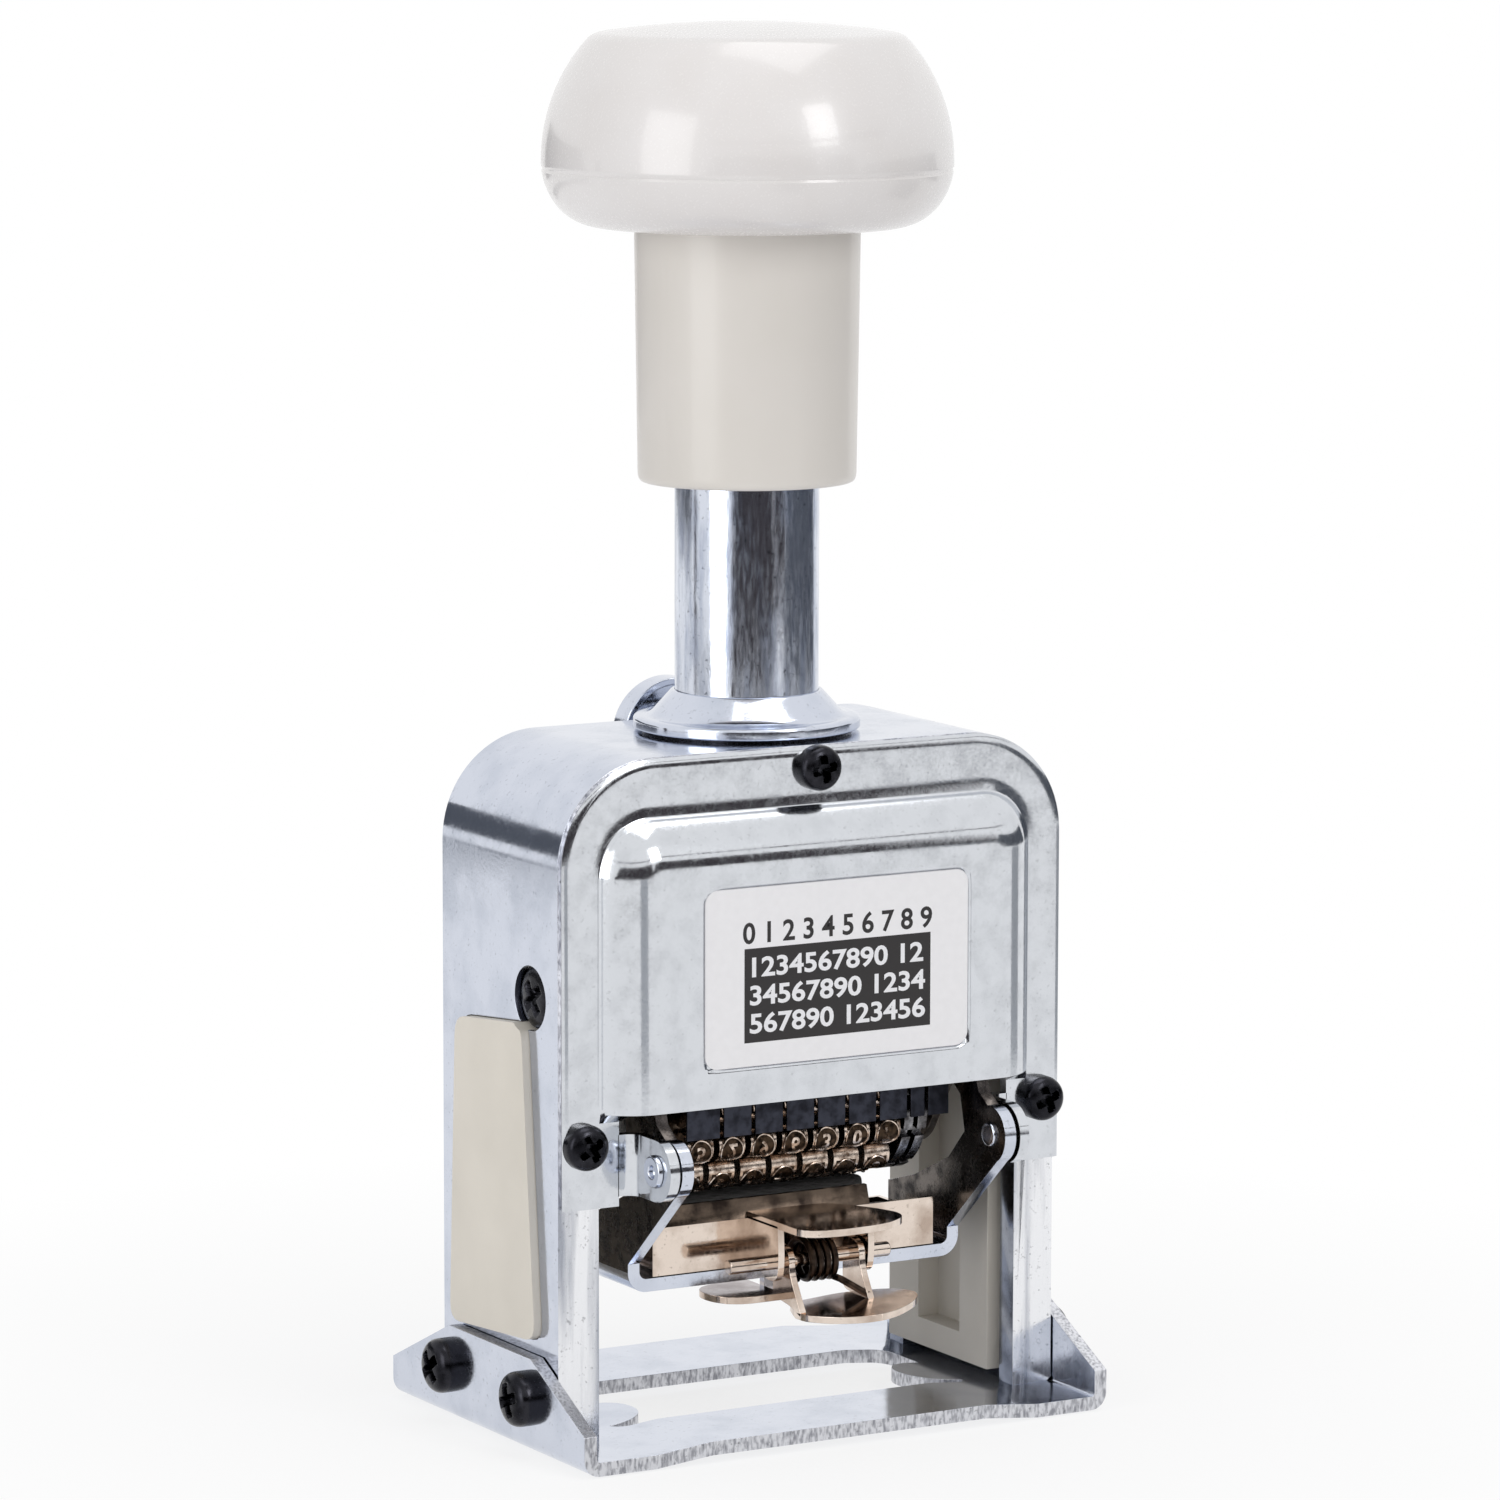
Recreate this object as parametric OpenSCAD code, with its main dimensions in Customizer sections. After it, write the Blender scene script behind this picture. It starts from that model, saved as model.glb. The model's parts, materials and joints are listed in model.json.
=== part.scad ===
// Hand-operated numbering machine: a sprung knob pushes seven number wheels through a base window.
// X runs across the machine, Y from the front to the back, Z up. The origin is the centre of the base's underside.

/* [Base plate] */
// Clearance between a side flange and the housing
flange_play = 0.15; // [0.1:0.05:0.2]
// Depth of the plate
base_d = 46.7; // [45:0.1:50]
// Thickness of the bent sheet
sheet = 1.6; // [1.4:0.1:1.7]
// Height of the side flanges in their middle
flange_h = 11; // [10:0.5:12]
// Height of the side flanges at their ends
flange_end_h = 4.6; // [4:0.1:6]
// Length of the level stretch on top of each flange
flange_flat = 19.8; // [18:0.1:24]
// Width of the print window
window_w = 46.8; // [44:0.2:48]
// Front edge of the print window, from the centre
window_front = 10.7; // [10:0.1:12]
// Back edge of the print window, from the centre
window_back = 8.6; // [8:0.1:10]
// How far the window bars are raised off the paper
bar_rise = 0.7; // [0.3:0.1:0.9]
// Width of the raised stretch of the bars
crease_w = 36; // [30:1:40]
// Run of the ramp beside the raised stretch
crease_run = 7; // [4:0.5:8]
// Clear distance between the tips of the two index tongues
tongue_gap = 35.2; // [34.8:0.1:37]
// Width of an index tongue
tongue_w = 10; // [7:0.5:11]

/* [Housing] */
// Width of the housing
body_w = 65; // [64.5:0.1:65.2]
// Front face of the housing, from the centre
body_front = 14; // [13.8:0.1:14.4]
// Back face of the housing, from the centre
body_back = 13.7; // [13.4:0.1:15]
// Height of the housing top above the paper
body_h = 78.6; // [77.5:0.1:80]
// Outer radius of the top corners
body_r = 12; // [10:0.5:13]
// Thickness of the side walls
body_wall = 1.6; // [1.4:0.1:1.7]
// Thickness of the top wall
body_top_wall = 2; // [1.6:0.1:2.4]
// Width of the front and back lips
lip_w = 5.2; // [4.8:0.1:5.3]
// Thickness of the front and back lips
lip_t = 3; // [2:0.1:3]

/* [Covers] */
// Thickness of the cover sheets
cover_t = 1.2; // [1:0.1:1.3]
// Height of the lower edge of the covers
cover_low = 28.4; // [27:0.1:29]
// Width of the front window between the cover's side columns
cover_gap = 50.8; // [49:0.2:52]
// Width of the pressed dome where it leaves the sheet
dome_w = 56; // [54:0.2:57]
// Flat margin above the pressed dome
dome_margin = 6.6; // [5.6:0.1:7.4]
// Lower edge of the pressed dome
dome_low = 39.1; // [38.6:0.1:41]
// How far the dome stands out of the sheet
dome_depth = 3.5; // [3:0.1:3.8]
// Sideways run of the dome's sloping wall
dome_run = 5.6; // [4:0.1:6]
// Corner radius of the dome where it leaves the sheet
dome_r = 6.5; // [5:0.5:9]
// Width of the label recess
label_w = 34.4; // [31:0.2:36]
// Height of the label recess
label_h = 20.4; // [18:0.2:21]
// Lower edge of the label recess
label_low = 43.4; // [42:0.1:45]
// How far the label stands to the right of the middle
label_x = 0.9; // [0:0.1:1.5]
// Depth of the label recess
label_depth = 0.4; // [0.3:0.05:0.5]
// Width of the shallow panel pressed into the back cover
panel_w = 42; // [36:1:46]
// Height of the shallow panel
panel_h = 24; // [20:1:26]
// How far the panel stands out
panel_depth = 1.2; // [0.8:0.1:1.6]

/* [Guide tube and collar] */
// Place of the tube's axis behind the centre
tube_y = 0.7; // [0:0.1:0.8]
// Outer radius of the tube
tube_r = 8.25; // [8.1:0.05:8.4]
// Bore radius of the tube
tube_bore = 7.2; // [7.1:0.05:7.3]
// Height of the tube's top end
tube_top = 121; // [118:0.5:122]
// Radius of the collar's flange
collar_r = 13; // [12.7:0.1:14]
// Thickness of the collar's flange
collar_t = 1.5; // [1.2:0.1:1.6]
// Lower radius of the collar's cone
cone_r = 11; // [10.2:0.1:11]
// Upper radius of the collar's cone
cone_top_r = 8.9; // [8.8:0.1:9.2]
// Height of the collar's cone
cone_h = 2.9; // [2.4:0.1:3.2]
// Thickness of the dark washer under the collar
neck_t = 0.3; // [0.2:0.05:0.4]
// Height of the rod bush above its flange
bush_h = 5.4; // [4:0.2:6]

/* [Plunger] */
// Travel of the knob
travel = 26.5; // [26.2:0.1:26.6]
// Greatest radius of the knob
knob_r = 23.4; // [22:0.1:24]
// Height of the knob's underside
knob_low = 136.2; // [135.6:0.1:136.8]
// Height of the knob's widest line
knob_wide = 143.6; // [142.5:0.1:144.5]
// Height of the knob's top
knob_top = 159.2; // [158.5:0.1:160]
// Radius of the knob's flat underside
knob_low_r = 17; // [16:0.5:18]
// Radius of the knob's side curve
knob_side_r = 20.5; // [19.5:0.5:23]
// Radius of the knob's crown
knob_crown_r = 120; // [100:5:150]
// Radius of the corner between the knob's side and crown
knob_corner_r = 2.5; // [1.5:0.5:4]
// Radius of the skirt at its lower edge
skirt_r = 12.45; // [12.35:0.05:12.6]
// Radius of the skirt at the knob
skirt_top_r = 12.9; // [12.7:0.05:13.2]
// Height of the skirt's lower edge
skirt_low = 107.2; // [107:0.1:107.4]
// Bore radius of the skirt
skirt_bore = 11.3; // [11.2:0.05:11.35]
// Radius of the plunger rod
rod_r = 4; // [3.8:0.1:4.2]
// Radius of the return spring's coil, to the middle of its wire
coil_r = 5.5; // [5.3:0.05:5.6]
// Wire radius of the return spring
coil_wire = 0.6; // [0.5:0.05:0.7]
// Turns of the return spring
coil_turns = 11; // [8:1:12]

/* [Carriage] */
// Height of the wheel shaft at rest
wheel_z = 35.2; // [35.1:0.1:35.3]
// Distance of the wheel shaft in front of the centre
wheel_front = 4.2; // [4:0.1:4.4]
// Outer distance between the two side plates
carriage_w = 39.8; // [39.4:0.1:39.9]
// Thickness of a side plate
plate_t = 1; // [0.8:0.05:1.1]
// Height of the side plates' top edge at rest
plate_top = 57; // [56:0.5:58]
// Thickness of the yoke's bridge
bridge_t = 3; // [2.5:0.1:3.5]
// Width of a runner, front to back
runner_w = 8.9; // [8:0.1:9]
// Depth of a runner in its channel
runner_t = 2.2; // [1.8:0.1:2.2]
// Lower end of the runners at rest
runner_low = 40; // [38:0.5:42]
// Radius of the wheel shaft
shaft_r = 2.5; // [2.2:0.05:2.7]

/* [Number wheels] */
// Radius over the type faces
type_r = 8.5; // [8.3:0.05:8.6]
// Spacing of the wheels along the shaft
wheel_pitch = 4.1; // [4:0.02:4.15]
// Gap between two wheels
wheel_gap = 0.2; // [0.15:0.05:0.4]
// Place of the middle wheel across the machine
wheel_mid = -1; // [-1.2:0.05:-0.8]
// Radius of the wheel's hub
hub_r = 5.2; // [4.8:0.1:5.4]
// Radius of a type post's round end
post_r = 1.8; // [1.6:0.05:1.9]
// Width of a type post along the shaft
post_w = 3.3; // [3:0.05:3.5]

/* [Inking bracket] */
// Distance of the bracket's pivot in front of the centre
pivot_front = 20; // [19.8:0.1:20.2]
// Height of the bracket's pivot
pivot_z = 33; // [32.8:0.1:33.2]
// Swing of the bracket over the whole press, in degrees
swing = 100; // [99:0.5:102]
// Outer distance between the arms
arm_w = 43.6; // [43.4:0.1:43.8]
// Thickness of the bracket's strip
arm_t = 1.5; // [1.3:0.05:1.5]
// Height of the bracket plate's underside
tray_plate_z = 17.1; // [16.8:0.1:17.4]
// Radius of an arm's round end
arm_end_r = 3.3; // [3:0.1:3.4]
// Place of the drive pin behind the pivot
drive_y = 9; // [8.9:0.1:9.2]
// Height of the drive pin above the pivot
drive_z = 14; // [13.8:0.1:14.2]
// Radius of the drive pin
drive_r = 0.8; // [0.7:0.05:0.9]

/* [Pad tray and clip] */
// Gap between the tray and each arm
tray_gap = 1.8; // [1.6:0.1:2.4]
// Distance of the tray's front wall in front of the centre
tray_front = 10.5; // [10.3:0.1:10.6]
// Depth of the tray
tray_d = 12; // [11:0.1:12.4]
// Thickness of the tray's sheet
tray_t = 0.6; // [0.4:0.05:0.7]
// Height of the tray's low wall
tray_wall = 5.5; // [5:0.1:6]
// Height of the raised lip above the low wall
tray_lip = 2.2; // [1.8:0.1:2.3]
// Right end of the raised lip
lip_end = 10; // [9:0.2:11]
// Distance of the clip pin in front of the centre
clip_front = 15.5; // [15:0.1:16]
// Height of the clip pin
clip_z = 20; // [19.8:0.1:20.2]
// Radius of the clip pin
clip_pin_r = 0.85; // [0.7:0.05:0.9]
// Thickness of the clip's sheet
clip_t = 0.8; // [0.6:0.05:0.9]
// Turn of the clip lever when it is squeezed, in degrees
clip_turn = 16; // [10:1:18]
// How far the tray slides out of the bracket
tray_slide = 24; // [15:1:28]

/* [Ears] */
// Distance between the ears' inner faces
ear_gap = 44.4; // [44.2:0.1:44.6]
// Radius of an ear's round end
ear_r = 3.5; // [3.2:0.1:3.6]
// Radius of the ear pin
ear_pin_r = 1.4; // [1.2:0.05:1.6]

/* [Side guides] */
// Distance between the guides' inner faces
guide_gap = 52.8; // [52.4:0.1:53.2]
// Front and back edges of the guide's face at its foot, and at its head
guide_foot = [10.2, 10.4]; // [6:0.1:10.6]
guide_head = [7.1, 8.9]; // [6:0.1:9]
// Height of the guide's face at its foot, and at its head
guide_face_z = [12.8, 48.6]; // [10:0.1:52]
// Drop of the guide's face towards the back, at its foot and at its head
guide_slant = [1.4, 1.6]; // [0:0.1:3]
// How far the guides stand out of the housing
guide_proud = 1; // [0.6:0.1:1.4]
// Front edge of the guide, from the centre
guide_front = 9.7; // [9.3:0.1:10.2]
// Back edge of the guide, from the centre
guide_back = 12.4; // [11.5:0.1:13]
// Top of the guide inside the housing
guide_top = 64; // [62:0.5:66]
// Gap between the guide and the base
guide_lift = 1.1; // [0.8:0.1:2]
// Rounding of the corners of the guide's face
guide_round = 2.2; // [1:0.1:2.6]
// Depth of the runner channel
channel_d = 2.8; // [2.6:0.1:3]
// Height of the channel's closed lower end
channel_low = 6; // [5:0.5:8]

/* [Selector] */
// Height of the selector's spindle
selector_z = 75.8; // [75.5:0.1:76]
// Radius of the selector's cupped knob
selector_r = 6.8; // [6:0.1:7.2]
// Length of the selector's pointer
pointer_l = 12.5; // [11:0.5:14]
// Greatest turn of the selector to either side, in degrees
selector_turn = 45; // [30:5:60]

/* [Screws] */
// Radius of a pan head
head_r = 3.15; // [2.9:0.05:3.3]
// Radius of a cover screw's head
cover_head_r = 2.6; // [2.4:0.05:2.8]
// Radius of a flat back screw's head
back_head_r = 2.2; // [2:0.05:2.3]
// Radius of a back screw's thread
back_thread_r = 1.2; // [1.1:0.05:1.3]
// Height of a pan head
head_h = 2.5; // [2:0.1:2.8]
// Radius of a screw's thread
thread_r = 1.4; // [1.2:0.05:1.6]
// Height of the flange screws
flange_screw_z = 6.3; // [6:0.1:6.6]
// Height of the two side screws of the front cover
cover_screw_z = 35.6; // [34:0.1:37]
// Height of the side screws that hold the guides
guide_screw_z = 51.4; // [50.5:0.1:53]
// Distance of those screws in front of the centre
guide_screw_front = 7.5; // [6:0.1:7.6]
// Head radius of those screws
guide_head_r = 3.5; // [3.2:0.05:3.6]

/* [Clearances] */
// Radial running clearance of a shaft in a bore
run = 0.05; // [0.03:0.01:0.08]
// Radial clearance of a screw or pin that is fixed
fit = 0.02; // [0.01:0.01:0.05]
// Play between parts that slide past each other
play = 0.2; // [0.15:0.05:0.25]
// Gap between parts that must never touch
gap = 0.4; // [0.35:0.05:0.45]
// Sheet edge seat against a neighbour
seat = 0.1; // [0.05:0.05:0.15]

/* [Hidden] */

eps = 0.01;
fine = 64;
round_n = 48;

chrome = [0.80, 0.82, 0.86];
nickel = [0.72, 0.66, 0.56];
beige = [0.76, 0.74, 0.69];
ivory = [0.92, 0.91, 0.88];
dark = [0.10, 0.10, 0.11];
steel = [0.62, 0.63, 0.65];
brass = [0.78, 0.64, 0.33];
felt = [0.05, 0.05, 0.06];
paper = [0.95, 0.95, 0.96];

// Base
base_w = body_w + 2 * (sheet + flange_play);
base_half = base_w / 2;
bend_r = sheet + 0.4;
flange_front = -flange_flat / 2 - 0.7;
flange_back = flange_front + flange_flat;
screw_inset = 1.1;
crease_in = crease_w / 2;
crease_out = crease_in + crease_run;
foot_chamfer = 0.5;
tongue_end_r = tongue_w / 2;
window_r = 2;

// Housing
body_half = body_w / 2;
body_d = body_front + body_back;
inner_half = body_half - body_wall;
inner_top = body_h - body_top_wall;
lip_half = body_half - lip_w;
lip_top = body_h - lip_w;
lip_r = body_r - lip_w + 1;
top_screw_z = body_h - 2.4;
side_screw_x = body_half - lip_w / 2;
back_screw_top = body_h - body_r;
back_screw_x = lip_half + 1.9;
back_inset = 0.8;
flat_h = cover_t - 0.1;
front_thread = cover_t + 1.4;
back_thread = cover_t + lip_t - 0.3;

// Covers
sheet_front = body_front + cover_t;
dome_face = sheet_front + dome_depth;
dome_top = body_h - dome_margin;
dome_half = dome_w / 2;
face_half = dome_half - dome_run;
dome_start = dome_low - 6;
label_r = 1.6;
panel_low = 33;
panel_r = 4;
panel_run = 1.5;
dial_w = 27;
dial_h = 8.5;
dial_t = 0.4;
dial_low = selector_z - pointer_l - 2.5;

// Plunger stack
bush_flange_t = 2;
bush_flange_r = 9.6;
coil_low = inner_top + bush_h;
collar_z = body_h + neck_t;
hub_low = knob_low - 0.6;
hub_r_knob = tube_bore - 0.6;
seat_t = 1.2;
coil_top = hub_low - seat_t;
cap_ceiling = tube_top + travel + 1.5;
socket_top = knob_low + 2.4;
cap_cavity = tube_r + 0.9;
rod_low = plate_top;
rod_top = cap_ceiling + 3;
boss_top = inner_top - bush_flange_t - 0.3;
boss_r = 7;
knob_steps = 8;
corner_steps = 4;

// Carriage
wheel_y = -wheel_front;
plate_out = carriage_w / 2;
plate_in = plate_out - plate_t;
channel_half = runner_w / 2 + play;
runner_y = 1.1;
guide_in = guide_gap / 2;
guide_root = 1;
guide_skin = 0.9;
runner_in = guide_in + 0.3;
runner_out = runner_in + runner_t;
plate_front = -13.8;
plate_back = 7;
plate_low_r = 5.5;
plate_shoulder = [4.5, 2.5, 7];
bar_low = plate_top - 4.8;
bar_h = 4;
bar_d = 2;
leaf_y = wheel_y - type_r - 0.6;
leaf_t = 0.3;
leaf_low = wheel_z - 0.7;
leaf_top = bar_low + bar_h;
leaf_gap = 0.5;

// Stack along the wheel shaft
wheel_count = 7;
wheel_w = wheel_pitch - wheel_gap;
stack_left = wheel_mid - wheel_count * wheel_pitch / 2;
stack_right = wheel_mid + wheel_count * wheel_pitch / 2;
disc_t = 1.2;
disc_r = type_r - 0.3;
disc_step = 1.8;
disc_x1 = stack_right + 0.2;
disc_x2 = disc_x1 + disc_step;
drum_x = disc_x2 + disc_t + 0.1;
feed_t = 0.6;
clip_ring_t = 0.5;
clip_ring_r = 3.7;
drum_w = plate_in - drum_x - feed_t - 2 * seat - clip_ring_t;
feed_bar_r = 0.9;
feed_arm_w = 3;
feed_reach = type_r + 2.1;
feed_angle = 20;
comb_h = 5;
comb_t = 0.6;
tooth_t = 0.8;
tooth_w = 2.4;

// Inking bracket
pivot_y = -pivot_front;
arm_out = arm_w / 2;
arm_in = arm_out - arm_t;
plate_z = tray_plate_z;
plate_front_y = -tray_front - 0.2;
plate_back_y = 2.6;
bend_out = arm_t + 0.9;
slot_r = drive_r + 0.12;
slot_steps = 26;

// Pad tray
tray_low = plate_z + arm_t + seat;
tray_w = arm_w - 2 * arm_t - 2 * tray_gap;
tray_half = tray_w / 2;
tray_back = -tray_front + tray_d;
wall_top = tray_low + tray_wall;
lip_peak = wall_top + tray_lip;
lip_lean = 0.7;
pad_top = wheel_z - type_r - 0.3;
pad_start = stack_left - 1;
pad_end = stack_right + 0.2;

// Clip
clip_y = -clip_front;
cheek_l = -6.2;
cheek_r = 6.4;
lever_l = -4.7;
lever_r = 5.3;
upper_z = 24.2;
upper_reach = 24.4;
upper_right = 8.6;
pin_left = -11.6;
pin_right = 9.4;
lower_z = 14;
hook_z = 15.6;
hook_left = -12.4;
hook_front = 16;
hook_d = 8.2;
hook_root = 2.3;
lower_right = 10.2;
tongue_x = -2.7;
tongue_half = 1.4;
tongue_z = 15.4;
clip_coil_r = 2.3;
clip_wire = 0.42;
clip_coil_turns = 4.5;

// Selector
cup_gap = 2.4;
cup_hub = 0.4;
knob_cup_y = body_back + cover_t + cup_gap;
knob_cup_d = 3.2;
nut_l = 5.9;
nut_end = knob_cup_y + knob_cup_d + nut_l;
tab_reach = nut_end;
spindle_r = 1.5;
pointer_y = body_back + cover_t + dial_t + 0.4;
pointer_t = 0.8;
pointer_half = 2;
pointer_tip = 0.5;
nut_r = 3;
nut_ball = 2.4;

// ---- shared shapes ----

// Arch outline standing on z = 0, in X and Z
module arch2d(w, h, r) {
    translate([-w / 2, 0]) square([w, h - r]);
    translate([-w / 2 + r, 0]) square([w - 2 * r, h]);
    for (s = [-1, 1]) translate([s * (w / 2 - r), h - r]) circle(r, $fn = fine);
}

// Rectangle with round corners, centred in X, standing on z = 0
module plate2d(w, h, r) {
    translate([-w / 2 + r, 0]) square([w - 2 * r, h]);
    translate([-w / 2, r]) square([w, h - 2 * r]);
    for (x = [-w / 2 + r, w / 2 - r], z = [r, h - r]) translate([x, z]) circle(r, $fn = round_n);
}

// Extrudes an X-Z outline along Y, from y0 to y1
module along_y(y0, y1) {
    translate([0, y1, 0]) rotate([90, 0, 0]) linear_extrude(y1 - y0) children();
}

// Extrudes a Y-Z outline along X, from x0 to x1
module along_x(x0, x1) {
    translate([x0, 0, 0]) rotate([90, 0, 90]) linear_extrude(x1 - x0) children();
}

// Round bar along X
module bar_x(x0, x1, r) {
    translate([x0, 0, 0]) rotate([0, 90, 0]) cylinder(h = x1 - x0, r = r, $fn = fine);
}

// Round bar along Y
module bar_y(y0, y1, r) {
    translate([0, y1, 0]) rotate([90, 0, 0]) cylinder(h = y1 - y0, r = r, $fn = fine);
}

// Ring along X with a bore
module ring_x(x0, x1, r, bore) {
    difference() {
        bar_x(x0, x1, r);
        bar_x(x0 - eps, x1 + eps, bore);
    }
}

// Pan-head screw: the head's flat lies on z = 0 and the thread points down
module pan_screw(r, h, l) {
    dome = (r * r + h * h) / (2 * h);
    difference() {
        union() {
            intersection() {
                cylinder(h = h, r = r, $fn = round_n);
                translate([0, 0, h * 1.15 - dome]) sphere(dome, $fn = round_n);
            }
            translate([0, 0, -l]) cylinder(h = l + eps, r = thread_r, $fn = round_n);
        }
        for (a = [45, 135])
            rotate([0, 0, a]) translate([-r * 0.62, -r * 0.14, h * 0.45]) cube([r * 1.24, r * 0.28, h]);
    }
}

// ---- frame ----

module base_profile2d() {
    x1 = base_half - bend_r;
    polygon([
        [-x1, 0], [-crease_out, 0], [-crease_in, bar_rise], [crease_in, bar_rise], [crease_out, 0], [x1, 0],
        [x1, sheet], [crease_out, sheet], [crease_in, sheet + bar_rise], [-crease_in, sheet + bar_rise],
        [-crease_out, sheet], [-x1, sheet]]);
    for (s = [-1, 1]) {
        translate([s * x1, bend_r]) intersection() {
            difference() {
                circle(bend_r, $fn = fine);
                circle(bend_r - sheet, $fn = fine);
            }
            translate([s > 0 ? 0 : -bend_r, -bend_r]) square(bend_r);
        }
        translate([s > 0 ? base_half - sheet : -base_half, bend_r]) square([sheet, flange_h - bend_r]);
    }
}

module window2d() {
    difference() {
        translate([-window_w / 2, -window_front]) square([window_w, window_front + window_back]);
        for (s = [-1, 1], y = [-window_front, window_back])
            translate([s * window_w / 2, y]) difference() {
                square(2 * window_r, center = true);
                translate([-s * window_r, y < 0 ? window_r : -window_r]) circle(window_r, $fn = round_n);
            }
        for (s = [-1, 1]) {
            translate([s * (tongue_gap / 2 + tongue_end_r), wheel_y]) circle(tongue_end_r, $fn = fine);
            translate([s > 0 ? tongue_gap / 2 + tongue_end_r : -window_w / 2 - eps, wheel_y - tongue_end_r])
                square([window_w / 2 - tongue_gap / 2 - tongue_end_r + eps, tongue_w]);
        }
    }
}

module flange_cut2d() {
    polygon([
        [-base_d, flange_end_h - 0.7], [-base_d / 2, flange_end_h], [flange_front, flange_h],
        [flange_back, flange_h], [base_d / 2, flange_end_h], [base_d, flange_end_h - 0.7],
        [base_d, flange_h * 2], [-base_d, flange_h * 2]]);
}

module base_plate() {
    color(chrome) difference() {
        along_y(-base_d / 2, base_d / 2) base_profile2d();
        translate([0, 0, -1]) linear_extrude(sheet + bar_rise + 2) window2d();
        along_x(-base_w, base_w) flange_cut2d();
        flange_screw_places() translate([0, 0, -base_half]) cylinder(h = base_w, r = thread_r + fit, $fn = round_n);
    }
}

module flange_screw_places() {
    for (s = [-1, 1], y = [flange_front + screw_inset, flange_back - screw_inset + 1.4])
        translate([s * base_half, y, flange_screw_z]) rotate([0, s * 90, 0]) children();
}

module cover_screw_places() {
    translate([0, -sheet_front, top_screw_z]) rotate([90, 0, 0]) children();
    for (s = [-1, 1]) translate([s * side_screw_x, -sheet_front, cover_screw_z]) rotate([90, 0, 0]) children();
}

module back_screw_places() {
    for (s = [-1, 1], z = [cover_screw_z, back_screw_top])
        translate([s * back_screw_x, body_back + cover_t, z]) rotate([-90, 0, 0]) children();
}

// Screw hole, from above the head's seat down to depth l
module screw_hole(r, l) {
    translate([0, 0, -l]) cylinder(h = l + 1, r = r, $fn = round_n);
}

// Outline with each corner cut back by k and curved
function soft_corners(pts, k, n = 4) = let (m = len(pts)) [
    for (i = [0 : m - 1], j = [0 : n])
        let (b = pts[i], s = b + k * unit(pts[(i + m - 1) % m] - b), e = b + k * unit(pts[(i + 1) % m] - b), t = j / n)
            (1 - t) * (1 - t) * s + 2 * t * (1 - t) * b + t * t * e];

// Flat-head screw, its head flush with z = 0
module flat_screw(r, h, l) {
    difference() {
        union() {
            translate([0, 0, -h]) cylinder(h = h, r1 = back_thread_r, r2 = r, $fn = round_n);
            translate([0, 0, -l]) cylinder(h = l - h + eps, r = back_thread_r, $fn = round_n);
        }
        for (a = [45, 135])
            rotate([0, 0, a]) translate([-r * 0.62, -r * 0.14, -h / 2]) cube([r * 1.24, r * 0.28, h]);
    }
}

// Countersink for a flat-head screw's head, open above z = 0
module flat_seat() {
    over = 0.2;
    c = seat / 2;
    translate([0, 0, -flat_h]) cylinder(h = flat_h + over, r1 = back_thread_r + c,
        r2 = back_head_r + c + over * (back_head_r - back_thread_r) / flat_h, $fn = round_n);
}

module guide_window2d(c) {
    polygon(soft_corners([
        [-guide_foot[0] - c, guide_face_z[0] - c], [guide_foot[1] + c, guide_face_z[0] - guide_slant[0] - c],
        [guide_head[1] + c, guide_face_z[1] - guide_slant[1] + c], [-guide_head[0] - c, guide_face_z[1] + c]],
        guide_round + c));
}

module foot_cut2d() {
    translate([-body_w, -1]) square([2 * body_w, sheet + 1]);
    for (s = [-1, 1]) translate([s * body_half, sheet]) rotate(45) square(foot_chamfer * 2 / sqrt(2), center = true);
}

module housing() {
    color(chrome) difference() {
        union() {
            difference() {
                along_y(-body_front, body_back) arch2d(body_w, body_h, body_r);
                along_y(-body_front - 1, body_back + 1)
                    translate([0, -1]) arch2d(2 * inner_half, inner_top + 1, body_r - body_wall);
            }
            for (y = [-body_front, body_back - lip_t])
                along_y(y, y + lip_t) difference() {
                    arch2d(body_w, body_h, body_r);
                    translate([0, -1]) arch2d(2 * lip_half, lip_top + 1, lip_r);
                }
        }
        along_y(-body_d, body_d) foot_cut2d();
        for (s = [-1, 1]) mirror([s > 0 ? 0 : 1, 0, 0]) along_x(inner_half - guide_root - seat, body_w) guide_window2d(seat);
        for (s = [-1, 1])
            translate([s * (inner_half - 0.5), -guide_screw_front, guide_screw_z]) rotate([0, s * 90, 0])
                cylinder(h = body_wall + 1, r = guide_head_r + 0.2, $fn = round_n);
        flange_screw_places() translate([0, 0, inner_half - base_half - 1])
            cylinder(h = body_wall + 2, r = thread_r + fit, $fn = round_n);
        cover_screw_places() screw_hole(thread_r + fit, front_thread + 0.1);
        back_screw_places() screw_hole(back_thread_r + fit, back_thread + 0.1);
        translate([0, tube_y, inner_top - 1]) cylinder(h = body_top_wall + 2, r = tube_r + fit, $fn = fine);
        translate([0, 0, selector_z]) bar_y(0, body_back + 1, spindle_r + run);
    }
}

module dome_block(inset) {
    low = dome_start;
    root_y = -sheet_front + inset;
    face_y = -dome_face + inset;
    hull() {
        along_y(root_y, root_y + eps) translate([0, low])
            plate2d(dome_w - 2 * inset, dome_top - low - inset, dome_r - inset / 2, $fn = 32);
        along_y(face_y, face_y + eps) translate([0, low])
            plate2d(2 * face_half - inset, dome_top - dome_run - low - inset / 2, dome_r / 2, $fn = 32);
    }
}

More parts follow.
